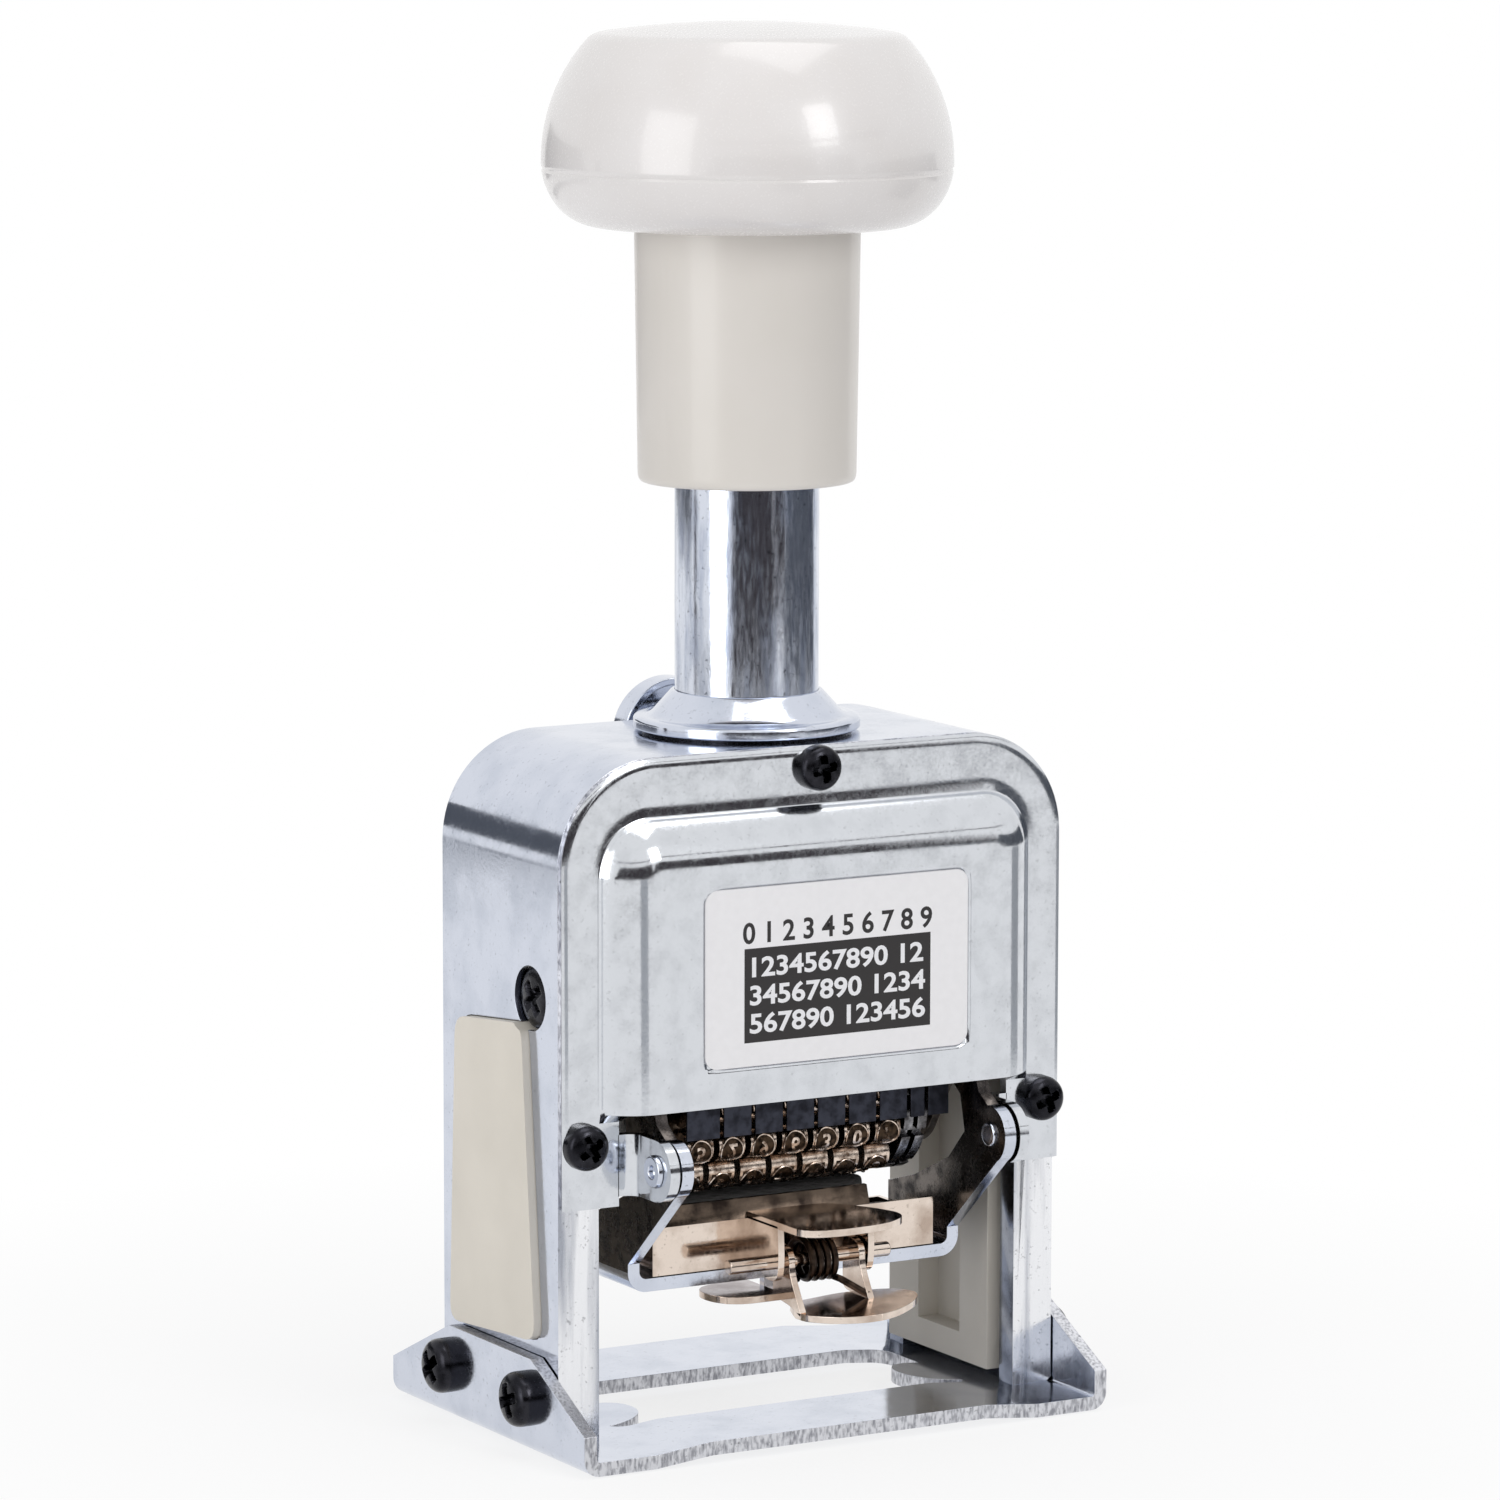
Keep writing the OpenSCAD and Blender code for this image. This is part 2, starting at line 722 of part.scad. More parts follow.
module front_cover() {
    color(chrome) difference() {
        union() {
            difference() {
                union() {
                    along_y(-sheet_front, -body_front) arch2d(body_w, body_h, body_r);
                    dome_block(0);
                }
                dome_block(cover_t);
                along_y(-body_d, body_d) translate([-body_w, -1]) square([2 * body_w, cover_low + 1]);
                along_y(-body_d, body_d) translate([-cover_gap / 2, 0]) square([cover_gap, dome_low]);
                along_y(-body_d, -sheet_front) translate([-body_w, 0]) square([2 * body_w, dome_low]);
            }
            for (s = [-1, 1]) ear(s);
        }
        along_y(-dome_face - 1, -dome_face + label_depth) translate([label_x, label_low])
            plate2d(label_w, label_h, label_r);
        cover_screw_places() screw_hole(thread_r + run, 2 * cover_t);
    }
}

// Ear folded forward from the edge of the cover's window
module ear(s) {
    x0 = s > 0 ? ear_gap / 2 : -ear_gap / 2 - cover_t;
    difference() {
        union() {
            along_x(x0, x0 + cover_t) {
                translate([pivot_y, pivot_z]) circle(ear_r, $fn = fine);
                translate([pivot_y, pivot_z - ear_r]) square([-pivot_y - body_front, 2 * ear_r]);
            }
            translate([s > 0 ? ear_gap / 2 : -cover_gap / 2 - 1, -sheet_front, pivot_z - ear_r])
                cube([cover_gap / 2 - ear_gap / 2 + 1, cover_t, 2 * ear_r]);
        }
        translate([0, pivot_y, pivot_z]) bar_x(-body_w, body_w, ear_pin_r + fit);
    }
}

module ear_pins() {
    color(chrome) for (s = [-1, 1]) translate([0, pivot_y, pivot_z]) {
        x0 = arm_in - gap;
        x1 = ear_gap / 2 + cover_t;
        mirror([s > 0 ? 0 : 1, 0, 0]) {
            bar_x(x0, x1 + 0.6, ear_pin_r);
            ring_x(x1, x1 + 0.5, ear_pin_r + 0.5, ear_pin_r - eps);
        }
    }
}

module back_cover() {
    color(chrome) difference() {
        union() {
            along_y(body_back, body_back + cover_t) difference() {
                arch2d(body_w - 2 * back_inset, body_h - back_inset, body_r - back_inset);
                translate([-body_w, -1]) square([2 * body_w, cover_low + 1]);
            }
            hull() {
                along_y(body_back, body_back + cover_t)
                    translate([0, panel_low]) plate2d(panel_w, panel_h, panel_r, $fn = 32);
                along_y(body_back, body_back + cover_t + panel_depth) translate([0, panel_low + panel_run])
                    plate2d(panel_w - 2 * panel_run, panel_h - 2 * panel_run, panel_r - 1, $fn = 32);
            }
        }
        along_y(body_back - 1, body_back + panel_depth) translate([0, panel_low + 2 * panel_run])
            plate2d(panel_w - 4 * panel_run, panel_h - 4 * panel_run, panel_r - 1);
        translate([0, 0, selector_z]) bar_y(0, 2 * body_back, spindle_r + run);
        back_screw_places() {
            screw_hole(back_thread_r + run, 2 * cover_t);
            flat_seat();
        }
    }
}

module label_plate() {
    color(paper) along_y(-dome_face + seat, -dome_face + label_depth) translate([label_x, label_low + fit])
        plate2d(label_w - 2 * fit, label_h - 2 * fit, label_r);
}

module dial_plate() {
    y0 = body_back + cover_t;
    color(nickel) along_y(y0, y0 + dial_t) translate([0, dial_low]) plate2d(dial_w, dial_h, 1.5);
}

module cover_screws() {
    color(dark) cover_screw_places() pan_screw(cover_head_r, head_h, front_thread);
}

module back_screws() {
    color(dark) back_screw_places() flat_screw(back_head_r, flat_h, back_thread);
}

module flange_screws() {
    color(dark) flange_screw_places() pan_screw(head_r, head_h, sheet + body_wall);
}

module guide_screws() {
    color(dark) for (s = [-1, 1])
        translate([s * inner_half, -guide_screw_front, guide_screw_z]) rotate([0, s * 90, 0])
            pan_screw(guide_head_r, body_wall - 0.2, inner_half - guide_in - guide_skin - seat);
}

module side_guide(s) {
    foot = sheet + guide_lift;
    mirror([s > 0 ? 0 : 1, 0, 0]) difference() {
        union() {
            translate([guide_in, -guide_front, foot])
                cube([lip_half - guide_in - play, guide_front + guide_back, guide_top - foot]);
            translate([guide_in, -guide_front, foot])
                cube([inner_half - guide_in, guide_front + body_back - lip_t - play, guide_top - foot]);
            along_x(inner_half - guide_root, body_half + guide_proud) guide_window2d(0);
        }
        translate([guide_in - 1, runner_y - channel_half, channel_low])
            cube([channel_d + 1, 2 * channel_half, guide_top]);
        translate([guide_in + guide_skin, -guide_screw_front, guide_screw_z]) rotate([0, 90, 0])
            cylinder(h = body_half, r = thread_r + fit, $fn = round_n);
        translate([inner_half, -guide_screw_front, guide_screw_z]) rotate([0, 90, 0])
            cylinder(h = body_half, r = guide_head_r + play, $fn = round_n);
    }
}

module side_guide_left() {
    color(beige) side_guide(-1);
}

module side_guide_right() {
    color(beige) side_guide(1);
}

module tube_ring(z0, z1, r, bore) {
    translate([0, tube_y, z0]) difference() {
        cylinder(h = z1 - z0, r = r, $fn = fine);
        translate([0, 0, -1]) cylinder(h = z1 - z0 + 2, r = bore, $fn = fine);
    }
}

module guide_tube() {
    color(chrome) tube_ring(inner_top, tube_top, tube_r, tube_bore);
}

module collar() {
    z1 = collar_z + collar_t;
    color(chrome) translate([0, tube_y, 0]) rotate_extrude($fn = fine)
        polygon([
            [tube_r + fit, collar_z], [collar_r - 0.3, collar_z], [collar_r, collar_z + 0.3], [collar_r, z1 - 0.4],
            [collar_r - 0.4, z1], [cone_r, z1], [cone_top_r, z1 + cone_h - 0.3], [cone_top_r - 0.2, z1 + cone_h],
            [tube_r + fit, z1 + cone_h]]);
}

module neck_washer() {
    color(dark) tube_ring(body_h, collar_z, collar_r - 1, tube_r + fit);
}

module rod_bush() {
    color(brass) {
        difference() {
            union() {
                tube_ring(inner_top - bush_flange_t, inner_top, bush_flange_r, rod_r + run);
                tube_ring(inner_top - eps, inner_top + bush_h, tube_bore - fit, rod_r + run);
            }
        }
    }
}

// ---- plunger ----

// Where a circle of radius a round p meets one of radius b round q, on the left of the way from p to q
function circle_meet(p, a, q, b) = let (d = norm(q - p), e = (q - p) / d, x = (a * a - b * b + d * d) / (2 * d))
    p + x * e + sqrt(a * a - x * x) * [-e[1], e[0]];

function arc_points(c, r, a0, a1, n) = [for (i = [0 : n]) let (a = a0 + (a1 - a0) * i / n) c + r * [cos(a), sin(a)]];

// Half outline of the knob: an elliptic lower curve, a round side, a small corner and a shallow crown
module knob_cap() {
    side_c = [knob_r - knob_side_r, knob_wide];
    crown_c = [0, knob_top - knob_crown_r];
    corner_c = circle_meet(side_c, knob_side_r - knob_corner_r, crown_c, knob_crown_r - knob_corner_r);
    side_a = atan2(corner_c[1] - side_c[1], corner_c[0] - side_c[0]);
    crown_a = atan2(corner_c[1] - crown_c[1], corner_c[0] - crown_c[0]);
    lower = [for (i = [0 : knob_steps - 1]) let (a = i * 90 / knob_steps)
        [knob_low_r + (knob_r - knob_low_r) * sin(a), knob_wide - (knob_wide - knob_low) * cos(a)]];
    side = arc_points(side_c, knob_side_r, 0, side_a, knob_steps);
    corner = arc_points(corner_c, knob_corner_r, side_a, crown_a, corner_steps);
    crown = arc_points(crown_c, knob_crown_r, crown_a, 90, corner_steps);
    color(ivory) translate([0, tube_y, 0]) rotate_extrude($fn = fine)
        polygon(concat(
            [[rod_r + fit, rod_top], [rod_r + fit, hub_low], [hub_r_knob, hub_low], [hub_r_knob, cap_ceiling],
             [cap_cavity, cap_ceiling], [cap_cavity, socket_top + 2], [skirt_bore, socket_top],
             [skirt_top_r + fit, socket_top], [skirt_top_r + fit, knob_low]],
            lower, side, [for (i = [1 : corner_steps]) corner[i]],
            [for (i = [1 : corner_steps - 1]) crown[i]], [[0, knob_top], [0, rod_top]]));
}

module knob_skirt() {
    lip = 1.2;
    color(ivory) translate([0, tube_y, 0]) rotate_extrude($fn = fine)
        polygon(concat(
            [[skirt_bore, socket_top], [skirt_bore, skirt_low + 0.3], [skirt_bore + 0.15, skirt_low]],
            [for (a = [0 : 18 : 90])
                [skirt_r - lip * 0.75 + lip * 0.75 * sin(a), skirt_low + lip * (1 - cos(a))]],
            [[skirt_top_r, knob_low], [skirt_top_r, socket_top]]));
}

module plunger_rod() {
    color(steel) translate([0, tube_y, rod_low]) cylinder(h = rod_top - rod_low, r = rod_r, $fn = fine);
}

module spring_seat() {
    color(steel) tube_ring(coil_top, hub_low, hub_r_knob - 0.1, rod_r + fit);
}

// Wire swept along a helix around the Z axis, with closed flat-ended tips
module coil(r, wire, turns, z0, z1, per_turn, sides) {
    n = turns * per_turn;
    rise = (z1 - z0 - 2 * wire) / n;
    ring = [for (i = [0 : n], k = [0 : sides - 1])
        let (a = i * 360 / per_turn, b = k * 360 / sides, q = r + wire * cos(b))
        [q * cos(a), q * sin(a), z0 + wire + i * rise + wire * sin(b)]];
    side = [for (i = [0 : n - 1], k = [0 : sides - 1])
        [i * sides + k, i * sides + (k + 1) % sides, (i + 1) * sides + (k + 1) % sides, (i + 1) * sides + k]];
    first = [[for (k = [sides - 1 : -1 : 0]) k]];
    last = [[for (k = [0 : sides - 1]) n * sides + k]];
    polyhedron(ring, concat(side, first, last), convexity = 8);
}

module return_spring() {
    color(steel) translate([0, tube_y, 0]) coil(coil_r, coil_wire, coil_turns, coil_low, coil_top, 12, 5);
}

module carriage_yoke() {
    depth = 14;
    color(steel) difference() {
        union() {
            translate([-plate_out, tube_y - depth / 2 - 1, plate_top]) cube([carriage_w, depth, bridge_t]);
            for (s = [-1, 1]) mirror([s > 0 ? 0 : 1, 0, 0]) {
                translate([plate_out - 1, runner_y - runner_w / 2, plate_top])
                    cube([runner_out - plate_out + 1, runner_w, bridge_t]);
                translate([runner_in, runner_y - runner_w / 2, runner_low])
                    cube([runner_t, runner_w, plate_top + bridge_t - runner_low]);
            }
            translate([0, tube_y, plate_top]) cylinder(h = boss_top - plate_top, r = boss_r, $fn = fine);
        }
        translate([0, tube_y, plate_top - 1]) cylinder(h = boss_top, r = rod_r + fit, $fn = fine);
    }
}

module side_plate(s) {
    x0 = s > 0 ? plate_in : -plate_out;
    difference() {
        along_x(x0, x0 + plate_t) {
            translate([wheel_y, wheel_z]) circle(plate_low_r, $fn = fine);
            polygon([
                [plate_front, plate_top], [plate_front, wheel_z + plate_shoulder[0]],
                [wheel_y - plate_low_r + 0.6, wheel_z - plate_shoulder[1]],
                [wheel_y + plate_low_r - 0.6, wheel_z - plate_shoulder[1]],
                [plate_back, wheel_z + plate_shoulder[2]], [plate_back, plate_top]]);
        }
        translate([0, wheel_y, wheel_z]) bar_x(-body_w, body_w, shaft_r + fit);
        translate([0, pivot_y + drive_y, pivot_z + drive_z]) bar_x(-body_w, body_w, drive_r + fit);
    }
}

module side_plate_left() {
    color(steel) side_plate(-1);
}

module side_plate_right() {
    color(steel) side_plate(1);
}

module wheel_shaft() {
    color(steel) translate([0, wheel_y, wheel_z]) bar_x(-plate_out - seat, plate_out + seat, shaft_r);
}

module shaft_clips() {
    color(steel) translate([0, wheel_y, wheel_z]) for (s = [-1, 1])
        mirror([s > 0 ? 0 : 1, 0, 0]) ring_x(plate_in - clip_ring_t, plate_in, clip_ring_r, shaft_r + fit);
}

module spring_bar() {
    color(dark) translate([-plate_in, leaf_y, bar_low]) cube([2 * plate_in, bar_d, bar_h]);
}

// One flat strip over each wheel, a wider first one and two narrow ones over the discs
module detent_springs() {
    color(dark) {
        for (i = [0 : wheel_count - 1]) {
            x = wheel_mid + (i - (wheel_count - 1) / 2) * wheel_pitch;
            extra = i == 0 ? 0.7 : 0;
            leaf(x - (wheel_pitch - leaf_gap) / 2 - extra, x + (wheel_pitch - leaf_gap) / 2);
        }
        leaf(stack_right + leaf_gap / 2, disc_x2 + disc_t / 2 - leaf_gap);
        leaf(disc_x2 + disc_t / 2, plate_in - leaf_gap / 2);
    }
}

module leaf(x0, x1) {
    translate([x0, leaf_y - leaf_t, leaf_low]) cube([x1 - x0, leaf_t, leaf_top - leaf_low]);
}

module ratchet_disc(x) {
    notches = 10;
    color(dark) translate([0, wheel_y, wheel_z]) difference() {
        ring_x(x, x + disc_t, disc_r, shaft_r + fit);
        for (i = [0 : notches - 1]) rotate([(i + 0.5) * 360 / notches, 0, 0])
            translate([x - 1, disc_r - 0.9, 0]) cube([disc_t + 2, 2, 0.9]);
    }
}

module ratchet_disc_1() {
    ratchet_disc(disc_x1);
}

module ratchet_disc_2() {
    ratchet_disc(disc_x2);
}

module end_drum() {
    color(nickel) translate([0, wheel_y, wheel_z]) ring_x(drum_x, drum_x + drum_w, hub_r, shaft_r + fit);
}

module thrust_collar() {
    color(nickel) translate([0, wheel_y, wheel_z])
        ring_x(-plate_in + clip_ring_t, stack_left - feed_t - seat, hub_r - 1, shaft_r + fit);
}

module drive_pins() {
    color(steel) for (s = [-1, 1]) translate([0, pivot_y + drive_y, pivot_z + drive_z])
        mirror([s > 0 ? 0 : 1, 0, 0]) {
            bar_x(plate_in, arm_out, drive_r);
            bar_x(plate_in - 0.6, plate_in, drive_r + 0.4);
        }
}

// ---- number wheels ----

module digit_wheel(i) {
    x = wheel_mid + (i - (wheel_count + 1) / 2) * wheel_pitch;
    posts = 10;
    post_at = type_r - post_r;
    color(nickel) translate([0, wheel_y, wheel_z]) difference() {
        union() {
            bar_x(x - wheel_w / 2, x + wheel_w / 2, hub_r);
            along_x(x - post_w / 2, x + post_w / 2)
                for (k = [0 : posts - 1]) rotate(k * 360 / posts - 90) {
                    translate([post_at, 0]) circle(post_r, $fn = round_n);
                    translate([0, -post_r * 0.6]) square([post_at, post_r * 1.2]);
                }
        }
        bar_x(x - wheel_w, x + wheel_w, shaft_r + run);
    }
}

module digit_wheel_1() {
    digit_wheel(1);
}

module digit_wheel_2() {
    digit_wheel(2);
}

module digit_wheel_3() {
    digit_wheel(3);
}

module digit_wheel_4() {
    digit_wheel(4);
}

module digit_wheel_5() {
    digit_wheel(5);
}

module digit_wheel_6() {
    digit_wheel(6);
}

module digit_wheel_7() {
    digit_wheel(7);
}

// ---- feed ----

module feed_frame() {
    left = stack_left - feed_t;
    right = drum_x + drum_w + seat;
    color(steel) translate([0, wheel_y, wheel_z]) rotate([feed_angle, 0, 0]) {
        for (x = [left, right]) difference() {
            along_x(x, x + feed_t) {
                circle(shaft_r + feed_arm_w / 2, $fn = fine);
                translate([0, -feed_arm_w / 2]) square([feed_reach, feed_arm_w]);
                translate([feed_reach, 0]) circle(feed_arm_w / 2, $fn = round_n);
            }
            bar_x(x - 1, x + feed_t + 1, shaft_r + run);
        }
        translate([0, feed_reach, 0]) bar_x(left + eps, right + feed_t - eps, feed_bar_r);
    }
}

module feed_comb() {
    inner = type_r + gap;
    color(dark) translate([0, wheel_y, wheel_z]) rotate([feed_angle, 0, 0]) {
        translate([stack_left, feed_reach + feed_bar_r, -comb_h / 2])
            cube([stack_right - stack_left, comb_t, comb_h]);
        for (i = [0 : wheel_count - 1])
            translate([stack_left + (i + 0.5) * wheel_pitch - tooth_w / 2, inner, -comb_h / 2 - tooth_t])
                cube([tooth_w, feed_reach + feed_bar_r + comb_t - inner, tooth_t + eps]);
    }
}

// ---- inking bracket ----

// Place of the drive pin in the bracket's own frame when the plunger has gone down by s
function slot_point(s) = let (a = swing * s / travel, y = drive_y, z = drive_z - s)
    [y * cos(a) - z * sin(a), y * sin(a) + z * cos(a)];

function unit(v) = v / norm(v);

// Outline of the crank plate round its slot, counted from the drive pin at rest
crank = [
    [0.4, -8.6], [3.6, -4.4], [3.9, -1.8], [2.2, -0.6], [2, 1.6], [0.4, 2.4], [-2, 1.6], [-5, -1.6], [-6, -4.4]];

// Lower edge of an arm behind the tray, counted from the plate's back edge and the pivot's height
arm_back = [[0, -9.3], [-1, -9.1], [-6, -7.6], [-9.4, -6.1]];

// Slot of half width r along the drive pin's path
module slot2d(r) {
    pts = [for (i = [0 : slot_steps]) slot_point(travel * i / slot_steps)];
    dirs = [for (i = [0 : slot_steps]) unit(pts[min(i + 1, slot_steps)] - pts[max(i - 1, 0)])];
    left = [for (i = [0 : slot_steps]) pts[i] + r * [-dirs[i][1], dirs[i][0]]];
    right = [for (i = [slot_steps : -1 : 0]) pts[i] - r * [-dirs[i][1], dirs[i][0]]];
    polygon(concat(left, right));
    for (p = [pts[0], pts[slot_steps]]) translate(p) circle(r, $fn = round_n);
}

module arm2d() {
    low = plate_z + bend_out - pivot_z;
    y0 = plate_front_y - pivot_y;
    y1 = plate_back_y - pivot_y;
    difference() {
        union() {
            circle(arm_end_r, $fn = fine);
            polygon(concat(
                [[-2.7, -1.9], [y0, low + 1], [y0, low], [y1, low]],
                [for (p = arm_back) [y1, 0] + p],
                [[9.1, -4.2], [5.6, -0.6], [6.6, 3.6]],
                [for (p = crank) [drive_y, drive_z] + p],
                [[3.1, 6], [2.6, 4.6], [0.5, 3.2]]));
        }
        slot2d(slot_r);
        circle(ear_pin_r + run, $fn = fine);
    }
}

module ink_bracket() {
    flat_half = arm_out - bend_out;
    color(chrome) {
        translate([-flat_half, plate_front_y, plate_z])
            cube([2 * flat_half, plate_back_y - plate_front_y, arm_t]);
        for (s = [-1, 1]) mirror([s > 0 ? 0 : 1, 0, 0]) {
            along_y(plate_front_y, plate_back_y) translate([flat_half, plate_z + bend_out]) intersection() {
                difference() {
                    circle(bend_out, $fn = fine);
                    circle(bend_out - arm_t, $fn = fine);
                }
                translate([0, -bend_out]) square(bend_out);
            }
            translate([0, pivot_y, pivot_z]) along_x(arm_in, arm_out) arm2d();
        }
        translate([tongue_x - tongue_half, plate_front_y, tongue_z])
            cube([2 * tongue_half, 1, plate_z - tongue_z + eps]);
    }
}

module pad_tray() {
    front = -tray_front;
    color(nickel) difference() {
        union() {
            translate([-tray_half, front, tray_low]) cube([tray_w, tray_d, tray_wall]);
            along_x(-tray_half, lip_end) polygon([
                [front, wall_top - eps], [front + tray_t, wall_top - eps],
                [front + tray_t + lip_lean, lip_peak], [front + lip_lean, lip_peak]]);
        }
        translate([-tray_half + tray_t, front + tray_t, tray_low + tray_t])
            cube([tray_w - 2 * tray_t, tray_d - 2 * tray_t, tray_wall]);
        translate([pad_end + play, front + tray_t, wall_top - 2]) cube([tray_w, tray_d, tray_wall]);
    }
}

module ink_pad() {
    y0 = -tray_front + tray_t + seat;
    lean = lip_lean + tray_t;
    color(felt) difference() {
        along_x(pad_start, pad_end) polygon([
            [y0, tray_low + tray_t], [tray_back - tray_t - seat, tray_low + tray_t],
            [tray_back - tray_t - seat, pad_top - 0.6], [tray_back - tray_t - seat - 0.6, pad_top],
            [y0 + lean, pad_top], [y0 + lean, wall_top], [y0, wall_top - 1]]);
        translate([0, 0, tray_low]) linear_extrude(pad_top)
            polygon([[lip_end - 0.8, y0 - 1], [lip_end - 0.8, y0], [pad_end + eps, y0 + 7], [pad_end + 1, y0 - 1]]);
    }
}

// Outline of the finger tabs, seen from above
module tab2d(left, right, back, front) {
    r = 3;
    polygon([
        [left, back], [right - 5, back], [right - 1, back - 2.5], [right, front + 5], [right - 1, front + 2],
        [right - r, front + 0.4], [left + r, front], [left + 0.4, front + 1.2], [left, front + r]]);
}

module cheek2d(y0, y1, z0, z1) {
    translate([clip_y, clip_z]) circle(2, $fn = round_n);
    translate([y0, z0]) square([y1 - y0, z1 - z0]);
}

module tray_clip() {
    color(nickel) difference() {
        union() {
            for (x = [cheek_l, cheek_r - clip_t]) along_x(x, x + clip_t) {
                cheek2d(clip_y - 2, -tray_front, tray_low, upper_z + eps);
            }
            translate([0, 0, upper_z]) linear_extrude(clip_t) tab2d(cheek_l, upper_right, -tray_front, -upper_reach);
        }
        translate([0, clip_y, clip_z]) bar_x(-body_w, body_w, clip_pin_r + fit);
    }
}

module clip_pin() {
    color(nickel) translate([0, clip_y, clip_z]) bar_x(pin_left, pin_right, clip_pin_r);
}

module clip_lever() {
    color(nickel) difference() {
        union() {
            for (x = [lever_l, lever_r - clip_t]) along_x(x, x + clip_t)
                cheek2d(clip_y - 1.8, clip_y + 1.8, lower_z + eps, clip_z);
            translate([0, 0, lower_z]) linear_extrude(clip_t) tab2d(lever_l, lower_right, clip_y + 1.2, -tab_reach);
            translate([hook_left, -hook_front, hook_z]) linear_extrude(clip_t) {
                plate2d_left(lever_l + seat - hook_left, hook_d, 2.6);
                square([lever_l + clip_t - hook_left - eps, hook_root]);
            }
        }
        translate([0, clip_y, clip_z]) bar_x(-body_w, body_w, clip_pin_r + run);
    }
}

// Tab with its two left corners rounded, from the origin to +X and +Y
module plate2d_left(w, h, r) {
    translate([r, 0]) square([w - r, h]);
    translate([0, r]) square([w, h - 2 * r]);
    for (y = [r, h - r]) translate([r, y]) circle(r, $fn = round_n);
}

module clip_spring() {
    x0 = -2.9;
    color(dark) {
        translate([x0, clip_y, clip_z]) rotate([0, 90, 0])
            coil(clip_coil_r, clip_wire, clip_coil_turns, 0, 5.2, 12, 5);
        translate([x0 + clip_wire, clip_y - clip_coil_r, lower_z + clip_t])
            cylinder(h = clip_z - lower_z - clip_t, r = clip_wire, $fn = 24);
    }
}

// ---- selector ----

module selector_knob() {
    y1 = knob_cup_y + knob_cup_d;
    color(chrome) translate([0, 0, selector_z]) difference() {
        union() {
            difference() {
                bar_y(knob_cup_y, y1, selector_r);
                bar_y(knob_cup_y - 1, y1 - 1, selector_r - 0.9);
            }
            bar_y(knob_cup_y - cup_hub, y1 - 0.5, spindle_r + 1.3);
        }
        bar_y(0, y1 - 0.6, spindle_r + fit);
    }
}

// Cap nut that ends as far behind the centre as the lower tab reaches in front of it
module selector_nut() {
    y0 = knob_cup_y + knob_cup_d;
    y1 = nut_end;
    color(chrome) translate([0, 0, selector_z]) {
        bar_y(y0, y1 - nut_ball, nut_r);
        translate([0, y1 - nut_ball, 0]) sphere(nut_ball, $fn = round_n);
    }
}

module selector_spindle() {
    color(steel) translate([0, 0, selector_z])
        bar_y(body_back - lip_t + 0.4, knob_cup_y + knob_cup_d - 0.7, spindle_r);
}

module selector_pointer() {
    color(chrome) translate([0, pointer_y, selector_z]) difference() {
        union() {
            bar_y(-0.2, pointer_t + 0.2, spindle_r + 1.6);
            along_y(0, pointer_t)
                polygon([
                    [-pointer_half, -spindle_r - fit], [pointer_half, -spindle_r - fit],
                    [pointer_tip, -pointer_l + pointer_tip], [0, -pointer_l], [-pointer_tip, -pointer_l + pointer_tip]]);
        }
        bar_y(-1, 2, spindle_r + fit);
    }
}

base_plate();
housing();
front_cover();
back_cover();
label_plate();
dial_plate();
cover_screws();
back_screws();
flange_screws();
guide_screws();
side_guide_left();
side_guide_right();
guide_tube();
collar();
neck_washer();
rod_bush();
ear_pins();
knob_cap();
knob_skirt();
plunger_rod();
spring_seat();
return_spring();
carriage_yoke();
side_plate_left();
side_plate_right();
wheel_shaft();
shaft_clips();
spring_bar();
detent_springs();
ratchet_disc_1();
ratchet_disc_2();
end_drum();
thrust_collar();
drive_pins();
digit_wheel_1();
digit_wheel_2();
digit_wheel_3();
digit_wheel_4();
digit_wheel_5();
digit_wheel_6();
digit_wheel_7();
feed_frame();
feed_comb();
ink_bracket();
pad_tray();
ink_pad();
tray_clip();
clip_pin();
clip_lever();
clip_spring();
selector_knob();
selector_nut();
selector_spindle();
selector_pointer();
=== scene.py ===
# Looks of a hand-operated numbering machine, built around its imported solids.
# Sizes are in millimetres. X runs across the machine, Y from the front to the back, Z up from the paper.

import json
from math import pi, radians

import bmesh
import bpy
import numpy as np
from mathutils import Matrix


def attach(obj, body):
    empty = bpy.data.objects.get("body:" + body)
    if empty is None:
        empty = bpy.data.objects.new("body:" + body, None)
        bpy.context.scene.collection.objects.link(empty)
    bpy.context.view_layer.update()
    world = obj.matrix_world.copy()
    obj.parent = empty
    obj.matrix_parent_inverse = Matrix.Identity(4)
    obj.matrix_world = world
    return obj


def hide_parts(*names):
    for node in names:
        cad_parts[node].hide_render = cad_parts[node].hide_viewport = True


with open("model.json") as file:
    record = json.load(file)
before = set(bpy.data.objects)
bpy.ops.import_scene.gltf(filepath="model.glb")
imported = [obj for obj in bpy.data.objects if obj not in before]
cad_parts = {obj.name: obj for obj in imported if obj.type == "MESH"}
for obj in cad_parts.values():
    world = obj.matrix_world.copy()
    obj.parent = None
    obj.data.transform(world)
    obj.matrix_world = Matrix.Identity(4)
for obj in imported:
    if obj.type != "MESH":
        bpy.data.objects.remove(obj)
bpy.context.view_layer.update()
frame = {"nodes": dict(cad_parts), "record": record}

# ---- Base plate ----
# A steel sheet bent up at both sides and bright chrome plated, with the print window punched
# through it. The sheared edges sparkle, and four screws hold the side flanges to the housing.

MM = 0.001
bodies = frame["record"]["behaviour"]["bodies"]
body_of = {node: body for body, nodes in bodies.items() for node in nodes}


